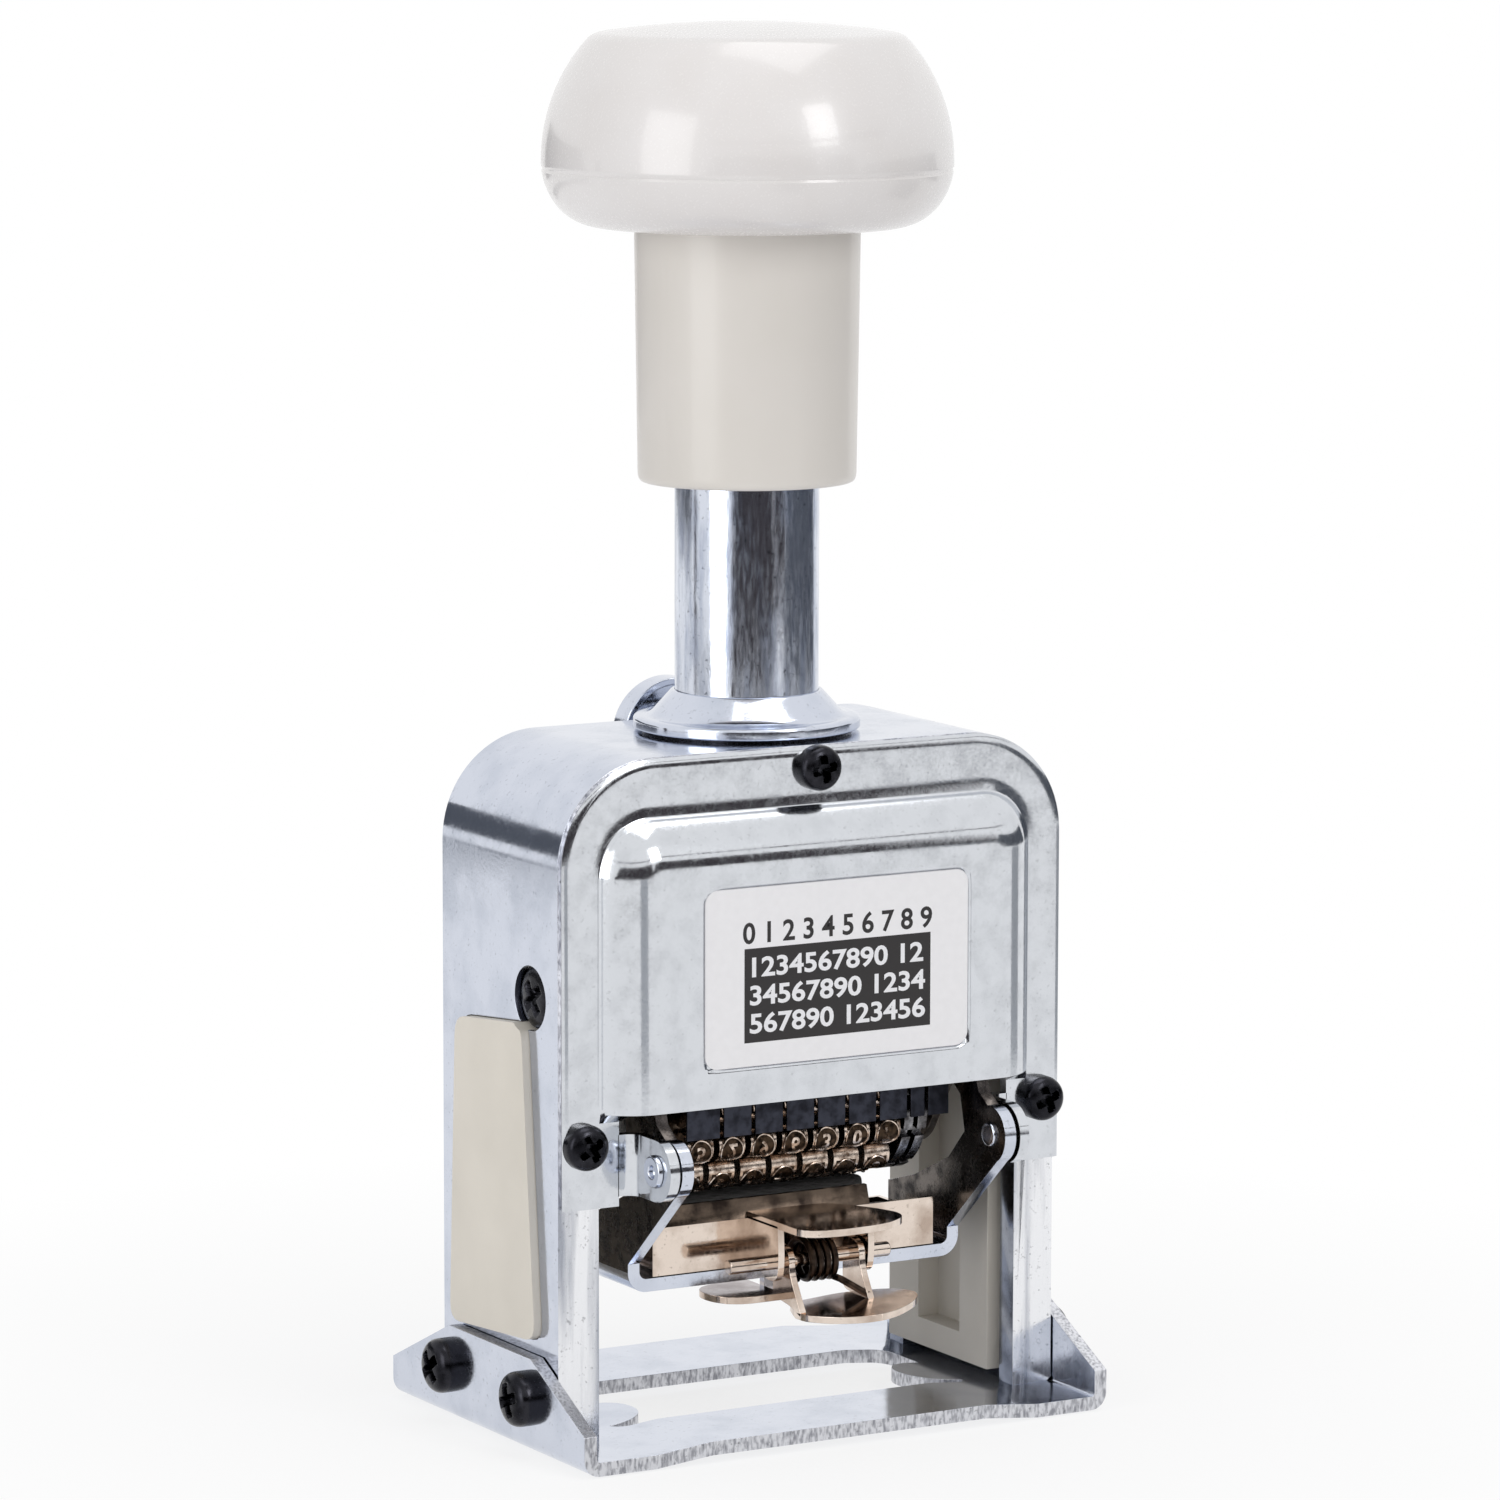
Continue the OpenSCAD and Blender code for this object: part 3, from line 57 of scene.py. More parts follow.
def tone(red, green, blue):
    """Screen colour from 0 to 255 as a linear colour: each channel is raised to 2.4 after its offset."""
    share = np.array([red, green, blue]) / 255
    linear = np.where(share > 0.04045, ((share + 0.055) / 1.055) ** 2.4, share / 12.92)
    return (*[float(c) for c in linear], 1.0)


def shade(tree, kind, sockets=None, **settings):
    """Adds one shader node. Settings go on the node; sockets takes plain values, or outputs to link."""
    made = tree.nodes.new("ShaderNode" + kind)
    for key, value in settings.items():
        setattr(made, key, value)
    for key, value in (sockets or {}).items():
        if isinstance(value, bpy.types.NodeSocket):
            tree.links.new(value, made.inputs[key])
        else:
            made.inputs[key].default_value = value
    return made


def start_finish(name, colour, metallic, roughness, **extra):
    """A new material with its Principled shader set, and the place on the object that its patterns read."""
    material = bpy.data.materials.new(name)
    material.use_nodes = True
    tree = material.node_tree
    surface = tree.nodes["Principled BSDF"]
    surface.inputs["Base Color"].default_value = colour
    surface.inputs["Metallic"].default_value = metallic
    surface.inputs["Roughness"].default_value = roughness
    for key, value in extra.items():
        surface.inputs[key.replace("_", " ").title().replace("Ior", "IOR")].default_value = value
    place = tree.nodes.new("ShaderNodeTexCoord").outputs["Object"]
    return material, tree, surface, place


def grain(tree, place, size, stretch=(1, 1, 1), detail=3.0, shift=0.0):
    """Noise whose blotches are about size millimetres wide, drawn out along the axes with a stretch over 1."""
    scale = tuple(1 / (size * MM * s) for s in stretch)
    spot = shade(tree, "Mapping", {"Vector": place, "Scale": scale, "Location": (shift, shift, shift)})
    return shade(tree, "TexNoise", {"Vector": spot.outputs[0], "Scale": 1.0, "Detail": detail}).outputs["Fac"]


def spread(tree, value, low, high, to_low=0.0, to_high=1.0):
    """A value between low and high, spread evenly over to_low to to_high and held there outside them."""
    sockets = {"Value": value, "From Min": low, "From Max": high, "To Min": to_low, "To Max": to_high}
    return shade(tree, "MapRange", sockets).outputs["Result"]


def mixed(tree, share, first, second):
    """Colour between first and second: share 0 gives the first."""
    mix = shade(tree, "Mix", data_type="RGBA")
    for index, value in ((0, share), (6, first), (7, second)):
        if isinstance(value, bpy.types.NodeSocket):
            tree.links.new(value, mix.inputs[index])
        else:
            mix.inputs[index].default_value = value
    return mix.outputs[2]


def relief(tree, surface, height, depth):
    """Bump of the given depth in millimetres from a height between 0 and 1, on top of any bump before it."""
    bump = shade(tree, "Bump", {"Height": height, "Distance": depth * MM, "Strength": 1.0})
    if surface.inputs["Normal"].is_linked:
        tree.links.new(surface.inputs["Normal"].links[0].from_socket, bump.inputs["Normal"])
    tree.links.new(bump.outputs[0], surface.inputs["Normal"])


def metal(name, bright, dull, gloss, patch=7.0, ripple=0.004, scratch=(1, 1, 1), scratches=0.002, pits=0.5,
          streaky=False):
    """Plated or bare metal: bright and dull patches, roughness between the two gloss values, a slow
    ripple of the plating, fine scratches drawn out by scratch, and dark pits and flecks."""
    material, tree, surface, place = start_finish(name, bright, 1.0, gloss[0])
    dark = (*[0.25 * c for c in dull[:3]], 1.0)
    patches = grain(tree, place, patch, scratch if streaky else (1, 1, 1), detail=5.0)
    fine = grain(tree, place, 0.35, scratch, detail=4.0)
    specks = shade(tree, "TexVoronoi", {"Vector": place, "Scale": 1 / (1.7 * MM)}).outputs["Distance"]
    stain = mixed(tree, spread(tree, patches, 0.42, 0.66), bright, dull)
    pitted = mixed(tree, spread(tree, specks, 0.03, 0.09, pits, 0.0), stain, dark)
    flecks = spread(tree, grain(tree, place, 0.55, detail=6.0, shift=9.0), 0.62, 0.74, 0.0, pits)
    tree.links.new(mixed(tree, flecks, pitted, dark), surface.inputs["Base Color"])
    worn = shade(tree, "Math", {0: patches, 1: fine}, operation="MULTIPLY").outputs[0]
    tree.links.new(spread(tree, worn, 0.12, 0.42, gloss[0], gloss[1]), surface.inputs["Roughness"])
    relief(tree, surface, grain(tree, place, 3.2, detail=1.0, shift=4.0), ripple)
    relief(tree, surface, fine, scratches)
    return material


def dressed(node, finish, edge=0.2, others=(), where=None, sharp=35):
    """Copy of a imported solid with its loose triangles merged, its flat facets joined and its edges
    rounded to edge millimetres. where(centres, normals) numbers the finish of each face: 0 is the
    first, and the others follow."""
    body = bmesh.new()
    body.from_mesh(frame["nodes"][node].data)
    bmesh.ops.remove_doubles(body, verts=body.verts, dist=2e-6)
    bmesh.ops.dissolve_limit(body, angle_limit=radians(0.6), verts=body.verts, edges=body.edges)
    mesh = bpy.data.meshes.new(node + "_finished")
    body.to_mesh(mesh)
    body.free()
    mesh.materials.clear()
    mesh.materials.append(finish)
    for other in others:
        mesh.materials.append(other)
    if others:
        centres, normals = np.empty(len(mesh.polygons) * 3), np.empty(len(mesh.polygons) * 3)
        mesh.polygons.foreach_get("center", centres)
        mesh.polygons.foreach_get("normal", normals)
        picked = where(centres.reshape(-1, 3) / MM, normals.reshape(-1, 3))
        mesh.polygons.foreach_set("material_index", picked.astype(np.int32))
    return finished(mesh, body_of[node], [node], edge, sharp=sharp)


def finished(mesh, body, nodes=(), edge=0.0, wall=0.0, sharp=35):
    """Puts a mesh on its body: smooth up to the sharp angle, with a sheet's wall and rounded edges if any."""
    piece = bpy.data.objects.new(mesh.name, mesh)
    bpy.context.collection.objects.link(piece)
    mesh.polygons.foreach_set("use_smooth", np.ones(len(mesh.polygons), bool))
    mesh.set_sharp_from_angle(angle=radians(sharp))
    if wall:
        sheet = piece.modifiers.new("wall", "SOLIDIFY")
        sheet.thickness, sheet.offset, sheet.use_even_offset = wall * MM, -1.0, True
    if edge:
        rounding = piece.modifiers.new("edges", "BEVEL")
        rounding.width, rounding.segments, rounding.limit_method = edge * MM, 2, "ANGLE"
        rounding.angle_limit, rounding.harden_normals = radians(min(sharp + 5, 40)), True
    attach(piece, body)
    if nodes:
        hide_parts(*nodes)
    return piece


chrome = metal("chrome", tone(208, 213, 225), tone(197, 203, 216), (0.07, 0.22), 5.0, 0.005,
               scratches=0.003, pits=0.3)
sheared = metal("sheared_edge", tone(220, 221, 226), tone(156, 157, 164), (0.3, 0.48), 0.35, 0.004,
                (1, 1, 3), 0.02, 0.6, streaky=True)
flange_inside = 32.3
plate_top = 2.6


def cut_edges(centres, normals):
    """The front and back edges, the window's walls and the flanges' rims."""
    flat = np.abs(centres[:, 0]) < flange_inside
    walls = (centres[:, 2] < plate_top) & (np.abs(normals[:, 2]) < 0.3)
    rims = (np.abs(normals[:, 0]) < 0.3) & (normals[:, 2] > -0.5)
    return np.where(flat, walls, (np.abs(centres[:, 0]) > flange_inside) & rims)


dressed("base_plate", chrome, 0.25, [sheared], cut_edges)


# ---- Flange screws ----
# Cross-recessed pan heads in black oxide, two on each flange, driven through the base's flange
# into the housing's wall.

def sheet_of(rows, columns, around=False):
    """Four-cornered faces over a grid of points given row after row; around joins the last column to the first."""
    across = np.arange(columns if around else columns - 1)
    down = np.arange(rows - 1)[:, None] * columns
    ahead = (across + 1) % columns
    return np.stack([down + across, down + ahead, down + columns + ahead, down + columns + across], -1).reshape(-1, 4)


def mesh_of(name, points, faces, finish, joined=True):
    """Mesh from points in millimetres. Doubles are merged, and a closed mesh has its faces turned outwards."""
    mesh = bpy.data.meshes.new(name)
    mesh.from_pydata((np.asarray(points).reshape(-1, 3) * MM).tolist(), [], np.asarray(faces).tolist())
    if joined:
        form = bmesh.new()
        form.from_mesh(mesh)
        bmesh.ops.remove_doubles(form, verts=form.verts, dist=1e-7)
        bmesh.ops.dissolve_degenerate(form, dist=1e-8, edges=form.edges)
        if not any(e.is_boundary for e in form.edges):
            bmesh.ops.recalc_face_normals(form, faces=form.faces)
        form.to_mesh(mesh)
        form.free()
    mesh.materials.append(finish)
    return mesh


def facing(points, out, at, turn=0.0):
    """Points drawn about their own Z axis, turned by turn degrees, then set so that Z points along out from at."""
    out = np.array(out, float)
    side = np.cross([0, 0, 1], out) if abs(out[2]) < 0.9 else np.array([1.0, 0, 0])
    a = radians(turn)
    spin = np.array([[np.cos(a), -np.sin(a), 0], [np.sin(a), np.cos(a), 0], [0, 0, 1]])
    return points @ spin.T @ np.array([side, np.cross(out, side), out]) + np.array(at, float)


def pan_screw(radius, height, length, steps=72):
    """Points of one screw: rows run from the head's middle over its rounded edge to the thread's end.
    The dome falls by the third root of 1 - r cubed, and two crossed slots with soft walls go down into it."""
    r = np.concatenate([np.linspace(0, 0.66, 20), np.sin(np.linspace(0.75, pi / 2, 9))])[:, None]
    a = np.arange(steps) * 2 * pi / steps
    x, y = r * np.cos(a), r * np.sin(a)
    near, far = np.minimum(abs(x), abs(y)), np.maximum(abs(x), abs(y))
    slot = np.clip((0.19 - near) / 0.07, 0, 1) * np.clip((0.62 - far) / 0.12, 0, 1)
    z = height * ((1 - np.minimum(r, 1) ** 3) ** (1 / 3) * 0.75 + 0.25) - 0.72 * height * slot * (1 - 0.4 * far)
    head = np.stack([radius * x, radius * y, z], -1)
    shank = [(radius, 0.0), (thread_r, 0.0), (thread_r, -length), (0.0, -length)]
    rows = [np.stack([q * np.cos(a), q * np.sin(a), np.full(steps, h)], -1) for q, h in shank]
    return np.concatenate([head, np.array(rows)])


def screw_set(node, radius, height, length, places):
    """All the screws of one kind as one piece. places lists each screw's seat, direction and turn."""
    one = pan_screw(radius, height, length)
    faces = sheet_of(one.shape[0], one.shape[1], around=True)
    count = one.shape[0] * one.shape[1]
    points = [facing(one.reshape(-1, 3), out, at, turn) for at, out, turn in places]
    faces = np.concatenate([faces + i * count for i in range(len(places))])
    mesh = mesh_of(node + "_finished", np.concatenate(points), faces, black_oxide)
    return finished(mesh, body_of[node], [node], sharp=50)


black_oxide = metal("black_oxide", tone(50, 50, 55), tone(30, 30, 34), (0.16, 0.36), 2.0, 0.01, scratches=0.008)
thread_r = 1.4
head_r = 3.15
head_h = 2.5
flange_x = 34.25
flange_z = 6.3
screw_set("flange_screws", head_r, head_h, 3.2,
          [((s * flange_x, y, flange_z), (s, 0, 0), turn)
           for s, y, turn in ((-1, -9.5, 20), (-1, 9.5, 38), (1, -9.5, 5), (1, 9.5, 60))])


# ---- Housing ----
# The machine's body, a bent steel arch with folded front and back lips, chrome plated.
# Its legs' lips are ground flat, which leaves fine upright lines below the cover.

ground = metal("ground_chrome", tone(238, 239, 242), tone(172, 176, 186), (0.12, 0.34), 2.6, 0.003,
               (1, 1, 12), 0.008, 0.5, streaky=True)
shadowed = metal("shadowed_chrome", tone(146, 150, 160), tone(84, 88, 98), (0.1, 0.3), 6.0)
lip_y = 13.5
wall_y = 12.5
leg_inside = 30.0


def ground_or_inside(centres, normals):
    """1 for the lips' faces, front and inner edge, and 2 for the walls' faces inside the arch."""
    lips = (normals[:, 1] < -0.9) & (centres[:, 1] < -lip_y)
    lips |= (np.abs(normals[:, 0]) > 0.9) & (centres[:, 1] < -wall_y) & (np.abs(centres[:, 0]) < leg_inside)
    inside = (normals[:, 0] * centres[:, 0] < -1) & (np.abs(centres[:, 1]) < wall_y)
    return np.where(lips, 1, np.where(inside, 2, 0))


dressed("housing", chrome, 0.35, [ground, shadowed], ground_or_inside)


# ---- Side guides ----
# Two moulded plastic guides in matt grey-beige, let into the housing's sides. The carriage's
# runners slide in their channels, and one recessed screw holds each.

def plastic(name, colour, second, gloss, texture, coat=0.0):
    """Moulded plastic: a colour that drifts slightly to the second, soft gloss and a fine spark-eroded texture."""
    material, tree, surface, place = start_finish(name, colour, 0.0, gloss, coat_weight=coat, coat_roughness=0.08)
    drift = spread(tree, grain(tree, place, 14.0, detail=3.0), 0.35, 0.7)
    tree.links.new(mixed(tree, drift, colour, second), surface.inputs["Base Color"])
    fine = grain(tree, place, 0.28, detail=2.0)
    tree.links.new(spread(tree, fine, 0.3, 0.7, gloss - 0.03, gloss + 0.05), surface.inputs["Roughness"])
    relief(tree, surface, fine, texture)
    return material


guide_plastic = plastic("guide_plastic", tone(224, 218, 207), tone(214, 208, 197), 0.5, 0.01)
for side in ("left", "right"):
    dressed("side_guide_" + side, guide_plastic, 0.5)

guide_head_r = 3.5
guide_screw_seat = (30.9, -7.5, 51.4)
screw_set("guide_screws", guide_head_r, 1.4, 3.5,
          [((s * guide_screw_seat[0], guide_screw_seat[1], guide_screw_seat[2]), (s, 0, 0), turn)
           for s, turn in ((-1, 38), (1, 12))])


# ---- Front cover ----
# A chromed sheet pressed into a deep dome with a shallow recess for the label. Its lower
# columns hold the two ears, folded forward, on which the inking bracket swings.

cover_t = 1.2
cover_y = -15.2
cover_half = 32.5
cover_top = 78.6
cover_r = 12.0
cover_low = 28.4
shoulder_z = cover_top - cover_r
window_half = 25.4
dome_half = 28.0
dome_top = 72.0
dome_low = 39.1
dome_r = 6.5
dome_run = 5.6
dome_depth = 3.5
root_rise = 1.6
root_h = 0.14
wall_h = 0.6
wall_run = 0.4
label_x = 0.9
label_half = 17.2
label_low = 43.4
label_top = 63.8
label_r = 1.6
label_depth = 0.4
label_gap = 0.3
label_wall = 0.45
edge_roll = 0.26
edge_run = 1.1


def inside_arch(x, z, half, top, radius):
    """Distance inwards from an arch open at its foot: the nearer of side and top, or of the corner's arc."""
    across, up = np.abs(x) - (half - radius), z - (top - radius)
    corner = radius - np.hypot(across, up)
    return np.where((across > 0) & (up > 0), corner, np.minimum(half - np.abs(x), top - z))


def inside_plate(x, z, half, low, top, radius):
    """Distance inwards from a rectangle with round corners."""
    across = np.abs(x) - (half - radius)
    up = np.abs(z - (low + top) / 2) - ((top - low) / 2 - radius)
    return radius - np.hypot(np.maximum(across, 0), np.maximum(up, 0)) - np.minimum(np.maximum(across, up), 0)


def soft_step(t):
    """Rises from 0 to 1 with level ends: 3 t squared less 2 t cubed."""
    t = np.clip(t, 0, 1)
    return t * t * (3 - 2 * t)


def lines(*stops):
    """Values from stop to stop: each pair is a stop and the number of even steps that lead to it."""
    out = [np.array([stops[0]])]
    for stop, steps in stops[1:]:
        out.append(np.linspace(out[-1][-1], stop, steps + 1)[1:])
    return np.concatenate(out)


def rolled(d):
    """How far the sheet's outer edge rolls back at a distance d inside it: a parabola over edge_run."""
    return edge_roll * (1 - np.clip(d / edge_run, 0, 1)) ** 2


def cover_face(x, z):
    """Height of the pressing out of the sheet: a slow rise to the root, a short steep wall, and above it a
    full round shoulder up to the level face, less the label's recess and the outer edge's slight roll."""
    d = inside_arch(x, z, dome_half, dome_top, dome_r)
    rise = root_h * np.clip((d + root_rise) / root_rise, 0, 1) ** 2
    wall = (wall_h - root_h) * soft_step((d + 0.05) / wall_run)
    shoulder = (dome_depth - wall_h) * (1 - (1 - np.clip((d - wall_run / 2) / dome_run, 0, 1)) ** 2.2)
    dome = rise + wall + shoulder
    label = inside_plate(x - label_x, z, label_half + label_gap, label_low - label_gap,
                         label_top + label_gap, label_r + label_gap)
    edge = inside_arch(x, z, cover_half, cover_top, cover_r)
    return dome - label_depth * soft_step(label / label_wall) - rolled(edge)


right = lines(0.0, (15.9, 8), (18.6, 22), (20.5, 6), (window_half, 32), (26.4, 7), (27.2, 6), (28.3, 14),
              (29.8, 6), (31.4, 5), (cover_half, 7))
x_lines = np.concatenate([-right[:0:-1], right])
z_lines = np.concatenate([lines(cover_low, (dome_low, 10), (42.8, 6), (43.7, 9), (63.4, 20), (64.3, 9), (71.2, 32),
                                (72.3, 13), (73.8, 6)),
                          shoulder_z + cover_r * np.sin(np.linspace(np.arcsin(0.6), pi / 2, 24))[1:]])
reach = cover_half - cover_r + np.sqrt(np.maximum(cover_r ** 2 - np.maximum(z_lines - shoulder_z, 0) ** 2, 0))
x = x_lines * (reach / cover_half)[:, None]
z = np.repeat(z_lines[:, None], len(x_lines), 1)
face = np.where(z >= dome_low - 1e-6, cover_face(x, z), -rolled(cover_half - np.abs(x)))
points = np.stack([x, cover_y - face, z], -1)
faces = sheet_of(len(z_lines), len(x_lines))
middle = points.reshape(-1, 3)[faces].mean(1)
kept = (middle[:, 2] > dome_low) | (np.abs(middle[:, 0]) > window_half)
pressed = metal("pressed_chrome", tone(213, 216, 221), tone(205, 208, 213), (0.07, 0.2), 2.6, 0.006,
                scratches=0.003, pits=0.2)
cover_mesh = mesh_of("front_cover_sheet", points, faces[kept], pressed)
cover_mesh.materials.append(sheared)
front_cover = finished(cover_mesh, "frame", ["front_cover"], 0.16, cover_t, sharp=50)
front_cover.modifiers["wall"].material_offset_rim = 1

ear_y = -20.0
ear_z = 33.0
ear_r = 3.5
ear_face = 23.4
fold_r = 1.4
fold = np.linspace(0, pi / 2, 9)[1:]
run_in = np.stack([lines(25.5, (ear_face + fold_r, 2)), np.full(3, cover_y)], -1)
bend = np.stack([ear_face + fold_r - fold_r * np.sin(fold), cover_y - fold_r + fold_r * np.cos(fold)], -1)
tongue = np.stack([np.full(5, ear_face), lines(bend[-1, 1], (ear_y, 5))[1:]], -1)
nose = np.stack([np.full(16, ear_face), ear_y - ear_r * np.sin(np.linspace(0, pi / 2, 17))[1:]], -1)
path = np.concatenate([run_in, bend, tongue, nose])
half = np.sqrt(np.maximum(ear_r ** 2 - np.maximum(ear_y - path[:, 1], 0) ** 2, 0))
across = np.linspace(-1, 1, 15)
for s in (-1, 1):
    ear = np.stack([np.repeat(s * path[:, :1], len(across), 1), np.repeat(path[:, 1:], len(across), 1),
                    ear_z + half[:, None] * across[None, :]], -1)
    faces = sheet_of(len(path), len(across))
    if s < 0:
        faces = faces[:, ::-1]
    mesh = mesh_of("ear_" + ("left" if s < 0 else "right"), ear, faces, pressed)
    finished(mesh, "frame", ["front_cover"], 0.2, cover_t, sharp=50)


# ---- Ear pins ----
# Two shouldered rivets through the ears, turned over at the outer end. The inking bracket's
# arms swing on them, and the inner end shows as a low polished dome.

def turned(name, profile, at, out, finish, steps=96, turn=0.0):
    """Turned piece: a profile of (radius, height) carried round its own axis, which points along out from at."""
    profile = np.array(profile, float)
    a = np.arange(steps) * 2 * pi / steps
    ring = np.stack([profile[:, :1] * np.cos(a), profile[:, :1] * np.sin(a),
                     np.repeat(profile[:, 1:], steps, 1)], -1)
    points = facing(ring.reshape(-1, 3), out, at, turn)
    return mesh_of(name, points, sheet_of(len(profile), steps, around=True), finish)


def rounded(*corners, steps=6):
    """Profile with soft corners: each corner (radius, height, rounding) becomes a quadratic curve from one
    of its sides to the other."""
    corners = np.array(corners, float)
    out = [corners[:1, :2]]
    for before, corner, after in zip(corners[:-2], corners[1:-1], corners[2:]):
        here, soft = corner[:2], corner[2]
        if soft == 0:
            out.append(here[None])
            continue
        back, on = before[:2] - here, after[:2] - here
        start = here + back * min(soft / max(np.hypot(*back), 1e-9), 0.5)
        end = here + on * min(soft / max(np.hypot(*on), 1e-9), 0.5)
        t = np.linspace(0, 1, steps + 1)[:, None]
        out.append((1 - t) ** 2 * start + 2 * t * (1 - t) * here + t ** 2 * end)
    out.append(corners[-1:, :2])
    return np.concatenate(out)


def joined(name, meshes):
    """One mesh from several that share a finish."""
    form = bmesh.new()
    for mesh in meshes:
        form.from_mesh(mesh)
    whole = bpy.data.meshes.new(name)
    form.to_mesh(whole)
    form.free()
    whole.materials.append(meshes[0].materials[0])
    return whole


pin_r = 1.4
pin_in = 19.9
pin_out = 23.4
rivet = rounded((0, -0.35, 0), (0.55, -0.3, 0.1), (0.75, 0.55, 0.15), (1.75, 0.6, 0.2), (1.9, 0.05, 0.1),
                (pin_r, 0, 0), (pin_r, pin_in - pin_out, 0.3), (0.6, pin_in - pin_out, 0.2),
                (0, pin_in - pin_out, 0))
pins = [turned("ear_pin", rivet, (s * pin_out, ear_y, ear_z), (s, 0, 0), chrome, 40) for s in (-1, 1)]
finished(joined("ear_pins_finished", pins), "frame", ["ear_pins"])


# ---- Cover screws ----
# Black cross-recessed pan heads: one at the top of the front cover and one on each column.

screw_set("cover_screws", 2.6, 2.1, 2.6,
          [((x, cover_y, z), (0, -1, 0), turn)
           for x, z, turn in ((0, 76.2, 12), (-29.9, 35.6, 30), (29.9, 35.6, 22))])


# ---- Label ----
# A printed card in the cover's recess. It carries plain counting figures only: dark ones in the
# top line, and light ones on a dark block below.

def figures(text, height, weight=0.0):
    """Flat mesh data of a line of figures of the given height, centred on the origin, from the built-in face."""
    curve = bpy.data.curves.new("figures", "FONT")
    curve.body, curve.size, curve.offset, curve.resolution_u = text, 1.0, weight, 4
    holder = bpy.data.objects.new("figures", curve)
    bpy.context.collection.objects.link(holder)
    bpy.context.view_layer.update()
    flat = bpy.data.meshes.new_from_object(holder.evaluated_get(bpy.context.evaluated_depsgraph_get()))
    points = np.empty(len(flat.vertices) * 3)
    flat.vertices.foreach_get("co", points)
    points = points.reshape(-1, 3)
    faces = [list(face.vertices) for face in flat.polygons]
    bpy.data.objects.remove(holder)
    low, high = points.min(0), points.max(0)
    return (points - (low + high) / 2) * height / (high[1] - low[1]), faces


def card(name, colour, gloss):
    """Coated card: nearly even colour, a faint mottle and a soft sheen."""
    material, tree, surface, place = start_finish(name, colour, 0.0, gloss)
    mottle = spread(tree, grain(tree, place, 0.9, detail=4.0), 0.3, 0.7)
    darker = (*[0.97 * c for c in colour[:3]], 1.0)
    tree.links.new(mixed(tree, mottle, colour, darker), surface.inputs["Base Color"])
    relief(tree, surface, grain(tree, place, 0.5, detail=2.0), 0.003)
    return material


label_card = card("label_card", tone(243, 242, 244), 0.38)
label_ink = card("label_ink", tone(38, 35, 36), 0.42)
label_white = card("label_white", tone(240, 240, 243), 0.4)
dressed("label_plate", label_card, 0.12)

card_y = -18.6


def gathered(name, parts, finish):
    """One mesh in the given finish from parts, each its points in millimetres and its faces."""
    points, faces, count = [], [], 0
    for part, plan in parts:
        points.append(part)
        faces += [[i + count for i in face] for face in plan]
        count += len(part)
    mesh = bpy.data.meshes.new(name)
    mesh.from_pydata((np.concatenate(points) * MM).tolist(), [], faces)
    mesh.materials.append(finish)
    return mesh


def printed(name, pieces, finish, lift):
    """Flat printed shapes on the card. Each piece is (points, faces, x, z), lifted off the card by lift."""
    parts = [(np.stack([flat[:, 0] + x, np.full(len(flat), card_y - lift), flat[:, 1] + z], -1), plan)
             for flat, plan, x, z in pieces]
    return finished(gathered(name, parts, finish), "frame")


block_x, block_z = 12.15, 5.35
block = np.array([[-block_x, -block_z, 0], [block_x, -block_z, 0], [block_x, block_z, 0], [-block_x, block_z, 0]])
printed("label_block", [(block, [[0, 1, 2, 3]], label_x, 51.5)], label_ink, 0.01)
top_line = figures("0 1 2 3 4 5 6 7 8 9", 2.5, 0.02)
printed("label_top_figures", [(*top_line, label_x, 58.6)], label_ink, 0.01)
rows = [("1234567890 12", 54.7), ("34567890 1234", 51.5), ("567890 123456", 48.3)]
wide = np.array([1.2, 1.0, 1.0])
rows = [(*figures(text, 2.35, 0.024), label_x, z) for text, z in rows]
printed("label_block_figures", [(flat * wide, plan, x, z) for flat, plan, x, z in rows], label_white, 0.025)


# ---- Back cover, dial plate and back screws ----
# A plain chromed sheet with a shallow pressed panel and four flush black screws. A nickelled dial plate
# with plain stroke numbers is stuck on it behind the selector's pointer.

nickel = metal("nickel", tone(226, 212, 200), tone(184, 166, 152), (0.06, 0.2), 5.0, 0.006, pits=0.35)
dressed("back_cover", chrome, 0.25, sharp=22)
dressed("dial_plate", nickel, 0.08)
back_y = 14.9
dressed("back_screws", black_oxide, 0.05)

selector_z = 75.8
dial_face = back_y + 0.4
dial = []
for number, angle in (("0", -40), ("1", -27), ("2", -13.5), ("3", 0), ("4", 13.5), ("6", 27), ("12", 40)):
    flat, plan = figures(number, 1.5, 0.01)
    a = radians(angle)
    dial.append((np.stack([-flat[:, 0] - 13.2 * np.sin(a), np.full(len(flat), dial_face + 0.02),
                           flat[:, 1] + selector_z - 13.6 * np.cos(a)], -1), plan))
finished(gathered("dial_numbers", dial, label_ink), "frame")


# ---- Guide tube, collar and neck washer ----
# The plunger's guide is a drawn steel tube, polished and chromed, set in the housing's top.
# A turned collar with a low cone covers its foot, on a thin dark washer.

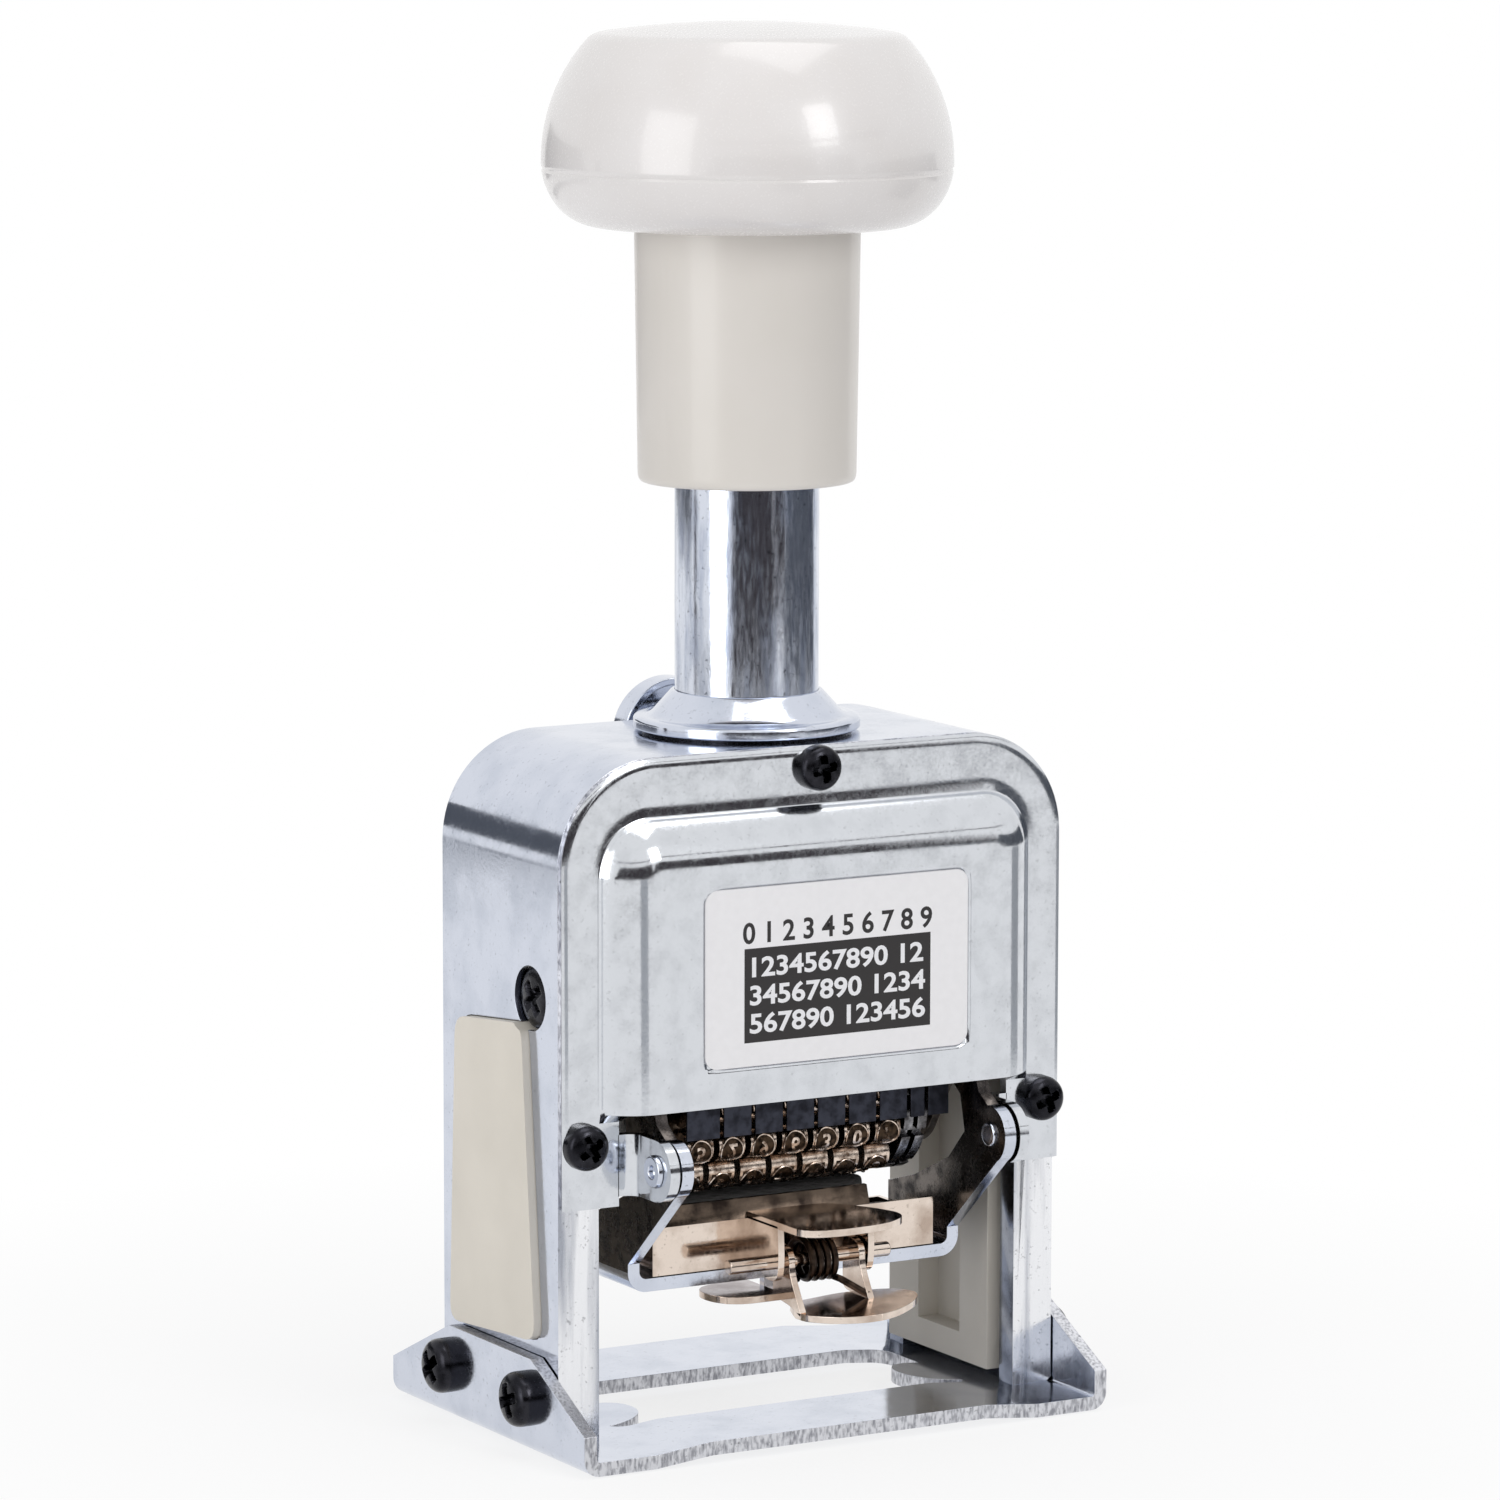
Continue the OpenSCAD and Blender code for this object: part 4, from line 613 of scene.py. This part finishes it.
tube_y = 0.7
drawn = metal("drawn_chrome", tone(214, 219, 230), tone(176, 184, 202), (0.07, 0.24), 1.6, 0.006,
              (1, 1, 6), 0.009, 0.7, streaky=True)
tube = rounded((7.2, 76.6, 0), (8.25, 76.6, 0), (8.25, 121, 0.3), (7.2, 121, 0.2), (7.2, 76.6, 0))
finished(turned("guide_tube_finished", tube, (0, tube_y, 0), (0, 0, 1), drawn, 128),
         "frame", ["guide_tube"])
collar = rounded((8.28, 78.9, 0), (12.8, 78.9, 0.15), (13, 79.1, 0.1), (13, 80.2, 0.35), (12.4, 80.4, 0.3),
                 (11.2, 80.45, 0.8), (8.9, 83.0, 0.5), (8.6, 83.3, 0.2), (8.28, 83.3, 0), (8.28, 78.9, 0))
finished(turned("collar_finished", collar, (0, tube_y, 0), (0, 0, 1), chrome, 128),
         "frame", ["collar"])
dressed("neck_washer", black_oxide, 0.05)

brass = metal("brass", tone(206, 176, 104), tone(150, 118, 60), (0.2, 0.38), 4.0, 0.003)
dressed("rod_bush", brass, 0.15)


# ---- Knob and skirt ----
# The mushroom knob is glossy off-white plastic moulded in two halves, with a fine seam at its
# widest line. Its skirt is a slightly greyer tube that slides down over the guide tube.

knob_plastic = plastic("knob_plastic", tone(229, 226, 225), tone(224, 220, 218), 0.24, 0.0003, 0.5)
skirt_plastic = plastic("skirt_plastic", tone(222, 217, 211), tone(219, 214, 207), 0.34, 0.0015, 0.2)


def arc(centre, radius, first, last, steps, squash=1.0):
    """Points on a circle from first to last degrees above the level, with its height times squash."""
    a = np.radians(np.linspace(first, last, steps))
    return np.stack([centre[0] + radius * np.cos(a), centre[1] + radius * squash * np.sin(a)], -1)


seam_z = 142.7
seam_depth, seam_half = 0.14, 0.17
lower = arc((17.0, 143.6), 6.4, -90, 0, 40, 7.4 / 6.4)
lower[:, 0] -= seam_depth * (np.abs(lower[:, 1] - seam_z) < seam_half)
inner = np.array([[0, 152], [4.02, 152], [4.02, 135.6], [6.6, 135.6], [6.6, 149], [9.15, 149], [9.15, 140.6],
                  [11.3, 138.6], [12.92, 138.6], [12.92, 136.2]])
side = arc((2.9, 143.6), 20.5, 0, 41.6, 30)[1:]
corner = arc((16.36, 155.55), 2.5, 41.6, 82.0, 12)[1:]
crown = arc((0.0, 39.2), 120.0, 82.0, 90.0, 20)[1:]
crown[-1, 0] = 0
profile = np.concatenate([inner, lower, side, corner, crown])
finished(turned("knob_finished", profile, (0, tube_y, 0), (0, 0, 1), knob_plastic, 144),
         "plunger", ["knob_cap"], sharp=28)
skirt = rounded((11.3, 138.6, 0), (11.3, 107.2, 0.3), (12.45, 107.2, 1.1), (12.9, 138.6, 0),
                (11.3, 138.6, 0), steps=10)
finished(turned("skirt_finished", skirt, (0, tube_y, 0), (0, 0, 1), skirt_plastic, 128),
         "plunger", ["knob_skirt"], sharp=28)


# ---- Plunger rod and return spring ----
# A ground steel rod carries the push down to the carriage. The return spring sits round it in
# the tube, between the bush and a seat washer, and is left as the coil that the press flattens.

steel = metal("steel", tone(188, 190, 194), tone(128, 130, 136), (0.22, 0.42), 4.0, 0.003)
dressed("plunger_rod", steel, 0.3)
dressed("spring_seat", steel, 0.1)
frame["nodes"]["return_spring"].material_slots[0].material = steel


# ---- Carriage ----
# A folded steel yoke with two runners, side plates and the wheel shaft between them. Sprung
# rings hold the shaft, and the bar above the wheels carries the detent springs.

grimy = metal("grimy_steel", tone(120, 112, 104), tone(58, 50, 44), (0.3, 0.55), 1.6, 0.01, scratches=0.01)
for node, finish, edge in (("carriage_yoke", steel, 0.25), ("side_plate_left", grimy, 0.15),
                           ("side_plate_right", grimy, 0.15), ("wheel_shaft", steel, 0.3),
                           ("shaft_clips", steel, 0.08), ("drive_pins", steel, 0.12)):
    dressed(node, finish, edge)


# ---- Detent springs and ratchet discs ----
# Flat blued spring strips, riveted to the bar, that drop behind the type to hold each wheel.
# The two ratchet discs at the right end are hardened and black, with thin bright rims.

blued = metal("blued_steel", tone(66, 68, 78), tone(46, 47, 54), (0.38, 0.55), 1.2, 0.001,
              scratches=0.006, pits=0.3)
for node in ("spring_bar", "detent_springs"):
    dressed(node, blued, 0.08)
disc_rim = metal("disc_rim", tone(176, 176, 180), tone(84, 82, 84), (0.2, 0.4), 1.2, 0.004)
for node in ("ratchet_disc_1", "ratchet_disc_2"):
    dressed(node, black_oxide, 0.06, [disc_rim], lambda centres, normals: np.abs(normals[:, 0]) < 0.5)
for node in ("end_drum", "thrust_collar"):
    dressed(node, nickel, 0.12)


# ---- Number wheels ----
# Seven nickelled brass wheels with ten type posts each. Every post's round face carries a raised
# ring and one mirrored figure, and ink has darkened the ground between them.

wheel_y = -4.2
wheel_z = 35.2
type_r = 8.5
post_r = 1.8
wheel_mid = -1.0
wheel_pitch = 4.1
post_from = 6.9
inked = metal("inked_nickel", tone(146, 128, 112), tone(36, 29, 25), (0.2, 0.46), 1.1, 0.008,
              scratches=0.012)
type_metal = metal("type_metal", tone(226, 209, 195), tone(112, 92, 78), (0.12, 0.34), 0.9, 0.006,
                   scratches=0.008)
type_ground = metal("type_ground", tone(74, 60, 48), tone(24, 19, 16), (0.35, 0.6), 0.7, 0.008)


def on_post(across, along, proud, x, turn):
    """Wraps flat shapes round a post's face. along is the arc over the post's round end, proud the height
    over it. The post's centre lies on the wheel at turn, and the face's own middle looks outwards."""
    a = along / post_r
    out = (type_r - post_r) + (post_r + proud) * np.cos(a)
    side = (post_r + proud) * np.sin(a)
    c, s = np.cos(turn), np.sin(turn)
    return np.stack([x + across, wheel_y + out * c - side * s, wheel_z + out * s + side * c], -1)


def oval_bead(half_x, half_y, width, height, steps=28):
    """Raised oval ring: a half-round bead of the given width and height along an ellipse, as its distances
    across, along and proud of the face."""
    a = np.arange(steps) * 2 * pi / steps
    b = np.linspace(0, pi, 5)
    grow = width / 2 * np.cos(b)[:, None]
    rise = np.repeat(height * np.sin(b)[:, None], steps, 1)
    return (half_x + grow) * np.cos(a), (half_y + grow) * np.sin(a), rise


def raised_figure(number, height, proud):
    """A figure as a thin raised plate: its flat face, and walls down from its outline."""
    flat, plan = figures(number, height, 0.02)
    form = bmesh.new()
    corners = [form.verts.new((x, y, proud)) for x, y, _ in flat]
    for face in plan:
        form.faces.new([corners[i] for i in face[::-1]])
    bmesh.ops.remove_doubles(form, verts=form.verts, dist=1e-6)
    rim = [e for e in form.edges if e.is_boundary]
    walls = bmesh.ops.extrude_edge_only(form, edges=rim)["geom"]
    for corner in walls:
        if isinstance(corner, bmesh.types.BMVert):
            corner.co.z = 0.0
    form.verts.index_update()
    points = np.array([v.co for v in form.verts])
    faces = [[v.index for v in face.verts] for face in form.faces]
    form.free()
    return points, faces


cut_figures = [raised_figure(str(k), 1.75, 0.16) for k in range(10)]
ring = oval_bead(1.42, 1.55, 0.26, 0.2)
ring_faces = sheet_of(*ring[2].shape, around=True)[:, ::-1]
pad_x, pad_y = np.meshgrid(np.linspace(-1.3, 1.3, 5), np.linspace(-1.45, 1.45, 9))
pad_faces = sheet_of(*pad_x.shape)[:, ::-1]
starts = (7, 4, 1, 8, 5, 2, 9)
for wheel, start in enumerate(starts, 1):
    node = "digit_wheel_%d" % wheel
    x = wheel_mid + (wheel - 4) * wheel_pitch
    dressed(node, inked, 0.12, [type_metal],
            lambda centres, normals: np.hypot(centres[:, 1] - wheel_y, centres[:, 2] - wheel_z) > post_from)
    parts, marks = [], []
    for k in range(10):
        turn = radians(36 * k - 90)
        bead = on_post(*ring, x, turn).reshape(-1, 3)
        ground_plate = on_post(pad_x, pad_y, np.full(pad_x.shape, 0.02), x, turn).reshape(-1, 3)
        flat, plan = cut_figures[(start + k) % 10]
        parts += [(bead, ring_faces.tolist()), (ground_plate, pad_faces.tolist()),
                  (on_post(flat[:, 0], flat[:, 1], flat[:, 2], x, turn), plan)]
        marks += [0] * len(ring_faces) + [1] * len(pad_faces) + [0] * len(plan)
    mesh = gathered("type_faces_%d" % wheel, parts, type_metal)
    mesh.materials.append(type_ground)
    mesh.polygons.foreach_set("material_index", np.array(marks, np.int32))
    finished(mesh, "wheel_%d" % wheel)


# ---- Feed frame and comb ----
# A steel fork on the wheel shaft carries the stepped feed comb behind the wheels, which turns
# them on by one figure at each stroke.

dressed("feed_frame", grimy, 0.1)
dressed("feed_comb", blued, 0.08)


# ---- Inking bracket ----
# One chromed steel strip bent to a U. Its arms hang on the ear pins, and a curved slot in each
# takes the carriage's drive pin, which throws the bracket forward as the knob goes down.

# The arms' inner faces above the bend and their ends over the pins are given a darker, brownish finish than the
# chrome.
arm_inside = metal("arm_inside", tone(104, 98, 94), tone(34, 30, 30), (0.14, 0.4), 2.2, 0.008, scratches=0.008)
arm_x = 20.6
bend_top = 21.0
arm_end = 36.8


def inked_arms(centres, normals):
    """The arms' inner faces above the bend, and their ends over the pins."""
    inner = (np.abs(centres[:, 0]) < arm_x) & (centres[:, 2] > bend_top) & (np.abs(normals[:, 0]) > 0.9)
    return inner | (centres[:, 2] > arm_end)


dressed("ink_bracket", chrome, 0.22, [arm_inside], inked_arms)


# ---- Pad tray ----
# A folded nickelled tray that slides on the bracket's plate, with a raised lip in front that
# leans back over the pad and a low place for taking the pad out.

stained = metal("stained_nickel", tone(92, 80, 70), tone(34, 28, 25), (0.1, 0.26), 3.5, 0.006, pits=0.3)
stain_from = 24.6
dressed("pad_tray", nickel, 0.1, [stained], lambda centres, normals: centres[:, 2] > stain_from)


# ---- Ink pad ----
# A block of black felt pressed into the tray, soaked with ink. Its top is crowned and fibrous,
# and its edges fray.

felt, tree, surface, place = start_finish("ink_felt", tone(24, 22, 23), 0.0, 0.85, sheen_weight=0.15,
                                          sheen_roughness=0.5)
mat = grain(tree, place, 0.5, detail=6.0)
fibres = mixed(tree, spread(tree, mat, 0.35, 0.7), tone(14, 13, 14), tone(40, 37, 38))
tree.links.new(fibres, surface.inputs["Base Color"])
relief(tree, surface, mat, 0.12)
chance = np.random.default_rng(7)
pad_left, pad_right = -16.35, 13.55
pad_front, pad_back = -9.75, 0.75
pad_low, pad_high = 19.35, 26.3
notch_from = 9.2
notch_depth = 7.0
front_fall = 1.3
nu, nv = 90, 36
u, v = np.meshgrid(np.linspace(-1, 1, nu), np.linspace(-1, 1, nv))
rough = chance.normal(0, 1, (nv, nu))
rough = (rough + np.roll(rough, 1, 0) + np.roll(rough, 1, 1) + np.roll(rough, -1, 1)) / 4
edge_fall = 0.55 * (np.abs(u) ** 24 + np.abs(v) ** 14)
x = (pad_left + pad_right) / 2 + u * (pad_right - pad_left) / 2
front = pad_front + np.clip((x - notch_from) / (pad_right - notch_from), 0, 1) * notch_depth
y = front + (v + 1) / 2 * (pad_back - front)
top = pad_high - 0.15 - edge_fall + 0.07 * rough - np.clip((pad_front + front_fall - y) / front_fall, 0, 1) * 0.5
top = np.minimum(top, pad_high)
under = np.full_like(top, pad_low)
upper_face = np.stack([x, y, top], -1)
lower_face = np.stack([x, y, under], -1)


def rim_of(grid):
    """The outline of a grid of points, once round."""
    return np.concatenate([grid[0], grid[1:, -1], grid[-1, -2::-1], grid[-2:0:-1, 0]])


wall_rows = np.stack([rim_of(upper_face), rim_of(upper_face * 0.5 + lower_face * 0.5), rim_of(lower_face)])
points = np.concatenate([upper_face.reshape(-1, 3), lower_face.reshape(-1, 3), wall_rows.reshape(-1, 3)])
grid = sheet_of(nv, nu)
walls = sheet_of(3, wall_rows.shape[1], around=True)
faces = np.concatenate([grid, grid[:, ::-1] + nu * nv, walls + 2 * nu * nv])
pad = finished(mesh_of("ink_pad_felt", points, faces, felt), "pad_holder", ["ink_pad"])


# ---- Clip ----
# A nickelled clip holds the tray: two cheeks with a bowed finger tab, and a lever below that
# turns on the pin. A dark torsion spring keeps the lever's hook under the bracket.

dressed("clip_pin", nickel, 0.15)


def slab(outline, out):
    """Flat piece from a closed outline of points in space, thickened along out."""
    count = len(outline)
    ahead = (np.arange(count) + 1) % count
    walls = np.stack([np.arange(count), ahead, ahead + count, np.arange(count) + count], -1).tolist()
    faces = [list(range(count)), list(range(count, 2 * count))] + walls
    piece = bpy.data.meshes.new("slab")
    piece.from_pydata((np.concatenate([outline, outline + np.array(out)]) * MM).tolist(), [], faces)
    form = bmesh.new()
    form.from_mesh(piece)
    bmesh.ops.recalc_face_normals(form, faces=form.faces)
    form.to_mesh(piece)
    form.free()
    piece.materials.append(nickel)
    return piece


def level(z, *corners, slope=0.0):
    """Outline seen from above at height z, which climbs by slope times the distance to the right of -4.7."""
    plan = rounded(*corners)[:-1]
    return np.column_stack([plan, z + slope * (plan[:, 0] + 4.7)])


def upright(x, *corners):
    """Outline seen from the side, as (Y, Z) corners, on the plane at x."""
    plan = rounded(*corners)[:-1]
    return np.column_stack([np.full(len(plan), x), plan])


clip_sheet = 0.8
cheek = ((-10.5, 24.5, 0), (-10.5, 18.75, 0), (-13.6, 18.75, 0.6), (-14.4, 18.0, 1.0), (-17.2, 17.9, 1.7),
         (-17.7, 20.5, 1.5), (-17.4, 24.5, 0), (-10.5, 24.5, 0))
upper_tab = ((-6.2, -10.5, 0), (-6.2, -22.0, 1.2), (-5.3, -23.6, 1.6), (-2.2, -24.4, 2.0), (4.4, -24.0, 2.5),
             (7.9, -21.6, 1.4), (8.6, -19.2, 1.2), (7.4, -15.6, 2.4), (4.2, -10.5, 2.6), (-6.2, -10.5, 0))
tray_clip = [slab(upright(x, *cheek), (clip_sheet, 0, 0)) for x in (-6.2, 5.6)]
tray_clip.append(slab(level(24.2, *upper_tab), (0, 0, clip_sheet)))
finished(joined("tray_clip_finished", tray_clip), "pad_holder", ["tray_clip"], 0.24)

shank = ((-13.7, 20.0, 0), (-13.7, 15.7, 1.0), (-17.6, 15.2, 0.8), (-20.4, 14.2, 0.5), (-19.2, 16.0, 1.8),
         (-17.4, 19.0, 1.5), (-17.5, 21.2, 1.4), (-15.5, 22.0, 1.6), (-13.6, 21.6, 1.4), (-13.7, 20.0, 0))
lower_tab = ((-4.7, -18.8, 0), (-4.7, -20.8, 0.8), (-3.0, -23.8, 1.8), (0.4, -26.4, 2.0), (4.2, -26.4, 2.2),
             (8.2, -23.8, 2.4), (10.1, -21.4, 1.4), (10.2, -19.2, 1.2), (8.6, -16.8, 2.2), (3.8, -14.8, 2.2),
             (-3.2, -14.8, 1.0), (-4.7, -18.8, 0))
hook = ((-3.9, -16.0, 0), (-3.9, -13.7, 0), (-4.6, -13.7, 0.1), (-4.6, -7.8, 0.5), (-10.0, -7.8, 1.5),
        (-12.4, -9.6, 1.8), (-12.4, -13.6, 1.9), (-10.2, -16.0, 2.0), (-3.9, -16.0, 0))
clip_lever = [slab(upright(x, *shank), (clip_sheet, 0, 0)) for x in (-4.7, 4.5)]
clip_lever.append(slab(level(14.0, *lower_tab, slope=0.07), (0, 0, clip_sheet)))
clip_lever.append(slab(level(15.6, *hook), (0, 0, clip_sheet)))
finished(joined("clip_lever_finished", clip_lever), "clip_lever", ["clip_lever"], 0.24)

spring_wire = metal("spring_wire", tone(70, 58, 50), tone(34, 27, 23), (0.26, 0.42), 1.0, 0.003)


def coil_points(radius, wire, turns, start, length, steps=28, sides=8):
    """Wire round a helix along X: the middle line turns evenly while it moves by length, and each section
    is a circle of the wire's radius in the plane of the axis and the radius."""
    n = int(turns * steps) + 1
    a = np.linspace(0, turns * 2 * pi, n)[:, None]
    b = np.arange(sides)[None, :] * 2 * pi / sides
    q = radius + wire * np.cos(b)
    middle = start + wire + (length - 2 * wire) * a / (turns * 2 * pi)
    return np.stack([middle + wire * np.sin(b), q * np.sin(a), -q * np.cos(a)], -1)


clip_axis = np.array([0.0, -15.5, 20.0])
coil = coil_points(2.3, 0.42, 4.5, -2.9, 5.2)


def wire_points(line, wire, sides=8):
    """Straight wire round the line between two points: circles across X at each, as the coil's section."""
    b = np.arange(sides)[None, :] * 2 * pi / sides
    line = np.array(line, float)[:, None, :]
    return line + wire * np.stack([np.sin(b), 0 * b, np.cos(b)], -1)


leg = wire_points([(1.88, 0.3, -2.3), (2.3, -1.6, -2.5), (4.9, -3.7, -4.3)], 0.42)
spring = [mesh_of("part", coil + clip_axis, sheet_of(len(coil), 8, around=True), spring_wire),
          mesh_of("part", leg + clip_axis, sheet_of(3, 8, around=True), spring_wire)]
finished(joined("clip_spring_finished", spring), "clip_lever", ["clip_spring"])


# ---- Selector ----
# A cupped chromed knob on a spindle behind the top of the housing, held by a cap nut. Its
# pointer sweeps over the dial plate's numbers.

for node, finish, edge in (("selector_knob", chrome, 0.25), ("selector_nut", chrome, 0.2),
                           ("selector_spindle", steel, 0.15), ("selector_pointer", chrome, 0.12)):
    dressed(node, finish, edge)


# ---- Floor, lights and camera ----
# A plain white floor and pale surroundings. Two soft boxes and a top light are set at a level
# where colours come out about as they are written.

def either(tree, first, second):
    """The greater of two values."""
    return shade(tree, "Math", {0: first, 1: second}, operation="MAXIMUM").outputs[0]


floor_paint, tree, surface, place = start_finish("floor_paint", (0.86, 0.86, 0.87, 1.0), 0.0, 0.9)
glow = shade(tree, "Emission", {"Color": (1, 1, 1, 1), "Strength": 1.0}).outputs[0]
rays = tree.nodes.new("ShaderNodeLightPath")
seen = either(tree, rays.outputs["Is Camera Ray"], rays.outputs["Is Glossy Ray"])
reach = shade(tree, "VectorMath", {0: place}, operation="LENGTH").outputs["Value"]
far = spread(tree, reach, 0.03, 0.15, 0.78, 1.0)
far = shade(tree, "Math", {0: far, 1: seen}, operation="MULTIPLY").outputs[0]
blend = shade(tree, "MixShader", {0: far, 1: surface.outputs[0], 2: glow}).outputs[0]
tree.links.new(blend, tree.nodes["Material Output"].inputs["Surface"])
floor_half, floor_z = 3.0, -0.0002
floor_mesh = bpy.data.meshes.new("floor")
floor_mesh.from_pydata([(x * floor_half, y * floor_half, floor_z) for x, y in ((-1, -1), (1, -1), (1, 1), (-1, 1))],
                       [], [(0, 1, 2, 3)])
floor_mesh.materials.append(floor_paint)
floor = bpy.data.objects.new("floor", floor_mesh)
bpy.context.collection.objects.link(floor)

world = bpy.data.worlds.new("studio")
world.use_nodes = True
bpy.context.scene.world = world
sky = world.node_tree
backdrop = sky.nodes["Background"]
backdrop.inputs["Color"].default_value = (1, 1, 1, 1)
rays = sky.nodes.new("ShaderNodeLightPath")
seen = either(sky, rays.outputs["Is Camera Ray"], rays.outputs["Is Transmission Ray"])
seen = either(sky, seen, rays.outputs["Is Glossy Ray"])
sky.links.new(spread(sky, seen, 0.0, 1.0, 0.5, 1.0), backdrop.inputs["Strength"])

dark_cloth = start_finish("dark_cloth", tone(64, 60, 64), 0.0, 1.0)[0]
middle_cloth = start_finish("middle_cloth", tone(96, 100, 108), 0.0, 1.0)[0]
pale_cloth = start_finish("pale_cloth", tone(178, 181, 186), 0.0, 1.0)[0]


def hang(name, rows, cloth):
    """Studio cloth over a grid of points. It shows only in reflections."""
    hung = bpy.data.objects.new(name, mesh_of(name, rows, sheet_of(*rows.shape[:2]), cloth))
    bpy.context.collection.objects.link(hung)
    hung.visible_camera = hung.visible_diffuse = hung.visible_shadow = False


def blind(name, first, last, low, high, cloth=dark_cloth, radius=640, steps=40):
    """Upright cloth on part of a circle round the object, from first to last degrees right of the front.
    Its ends narrow to a point."""
    a = np.radians(np.linspace(first, last, steps))
    share = np.clip(np.minimum(np.arange(steps), np.arange(steps)[::-1]) / 4, 0.2, 1)
    hang(name, np.array([np.stack([radius * np.sin(a), -radius * np.cos(a), low + (high - low) * h * share], -1)
                         for h in (0, 1)]), cloth)


def runner(name, first, last, near, reach, cloth=pale_cloth, steps=16):
    """Cloth on the floor between two directions and two distances."""
    a = np.radians(np.linspace(first, last, steps))
    hang(name, np.array([np.stack([q * np.sin(a), -q * np.cos(a), np.full(steps, 0.5)], -1)
                         for q in (near, reach)]), cloth)


blind("front_blind", -55, 14, 0, 215)
blind("middle_blind", 12, 33, 27, 200)
blind("right_blind", 31, 104, 0, 150, middle_cloth)
blind("left_strip", -122, -117, 0, 150)
blind("back_left_blind", -185, -128, 50, 180, middle_cloth, 600)
blind("high_strip", -60, 60, 300, 322)
runner("left_runner", -14, 2, 240, 540)
runner("side_runner", 62, 84, 240, 540)
runner("back_left_runner", -185, -128, 480, 600)
runner("left_runner_far", -116, -71, 555, 780)


def soft_box(name, at, towards, width, height, watts):
    """Rectangular lamp at a place, facing a point; its -Z axis looks along the line between them."""
    lamp = bpy.data.lights.new(name, "AREA")
    lamp.shape, lamp.size, lamp.size_y, lamp.energy = "RECTANGLE", width, height, watts
    holder = bpy.data.objects.new(name, lamp)
    bpy.context.collection.objects.link(holder)
    back = np.array(at, float) - np.array(towards, float)
    back /= np.linalg.norm(back)
    side = np.cross([0, 0, 1], back)
    side /= np.linalg.norm(side)
    up = np.cross(back, side)
    holder.matrix_world = Matrix([[side[i], up[i], back[i], at[i]] for i in range(3)] + [[0, 0, 0, 1]])
    return holder


soft_box("left_box", (-0.62, -0.16, 0.24), (0, 0, 0.08), 0.34, 0.5, 1.3)
soft_box("right_box", (0.16, -0.62, 0.42), (0, 0, 0.08), 0.2, 0.3, 1.0)
soft_box("top_light", (0.1, -0.1, 0.85), (0, 0, 0.08), 0.5, 0.5, 1.6)

azimuth, elevation, roll = radians(-29.782), radians(8.154), radians(0.105)
distance, target = 811.99, np.array([0.056, 0.0, 76.243])
back = np.array([np.sin(azimuth) * np.cos(elevation), -np.cos(azimuth) * np.cos(elevation), np.sin(elevation)])
side = np.array([np.cos(azimuth), np.sin(azimuth), 0])
up = np.cross(back, side)
side, up = np.cos(roll) * side + np.sin(roll) * up, np.cos(roll) * up - np.sin(roll) * side
lens = bpy.data.cameras.new("camera")
lens.lens, lens.sensor_width, lens.sensor_fit = 170.34, 36.0, "AUTO"
lens.clip_start, lens.clip_end = 0.05, 20.0
camera = bpy.data.objects.new("camera", lens)
bpy.context.collection.objects.link(camera)
place_of = (target + distance * back) * MM
camera.matrix_world = Matrix([[side[i], up[i], back[i], place_of[i]] for i in range(3)] + [[0, 0, 0, 1]])
scene = bpy.context.scene
scene.camera = camera
scene.view_settings.view_transform = "Standard"
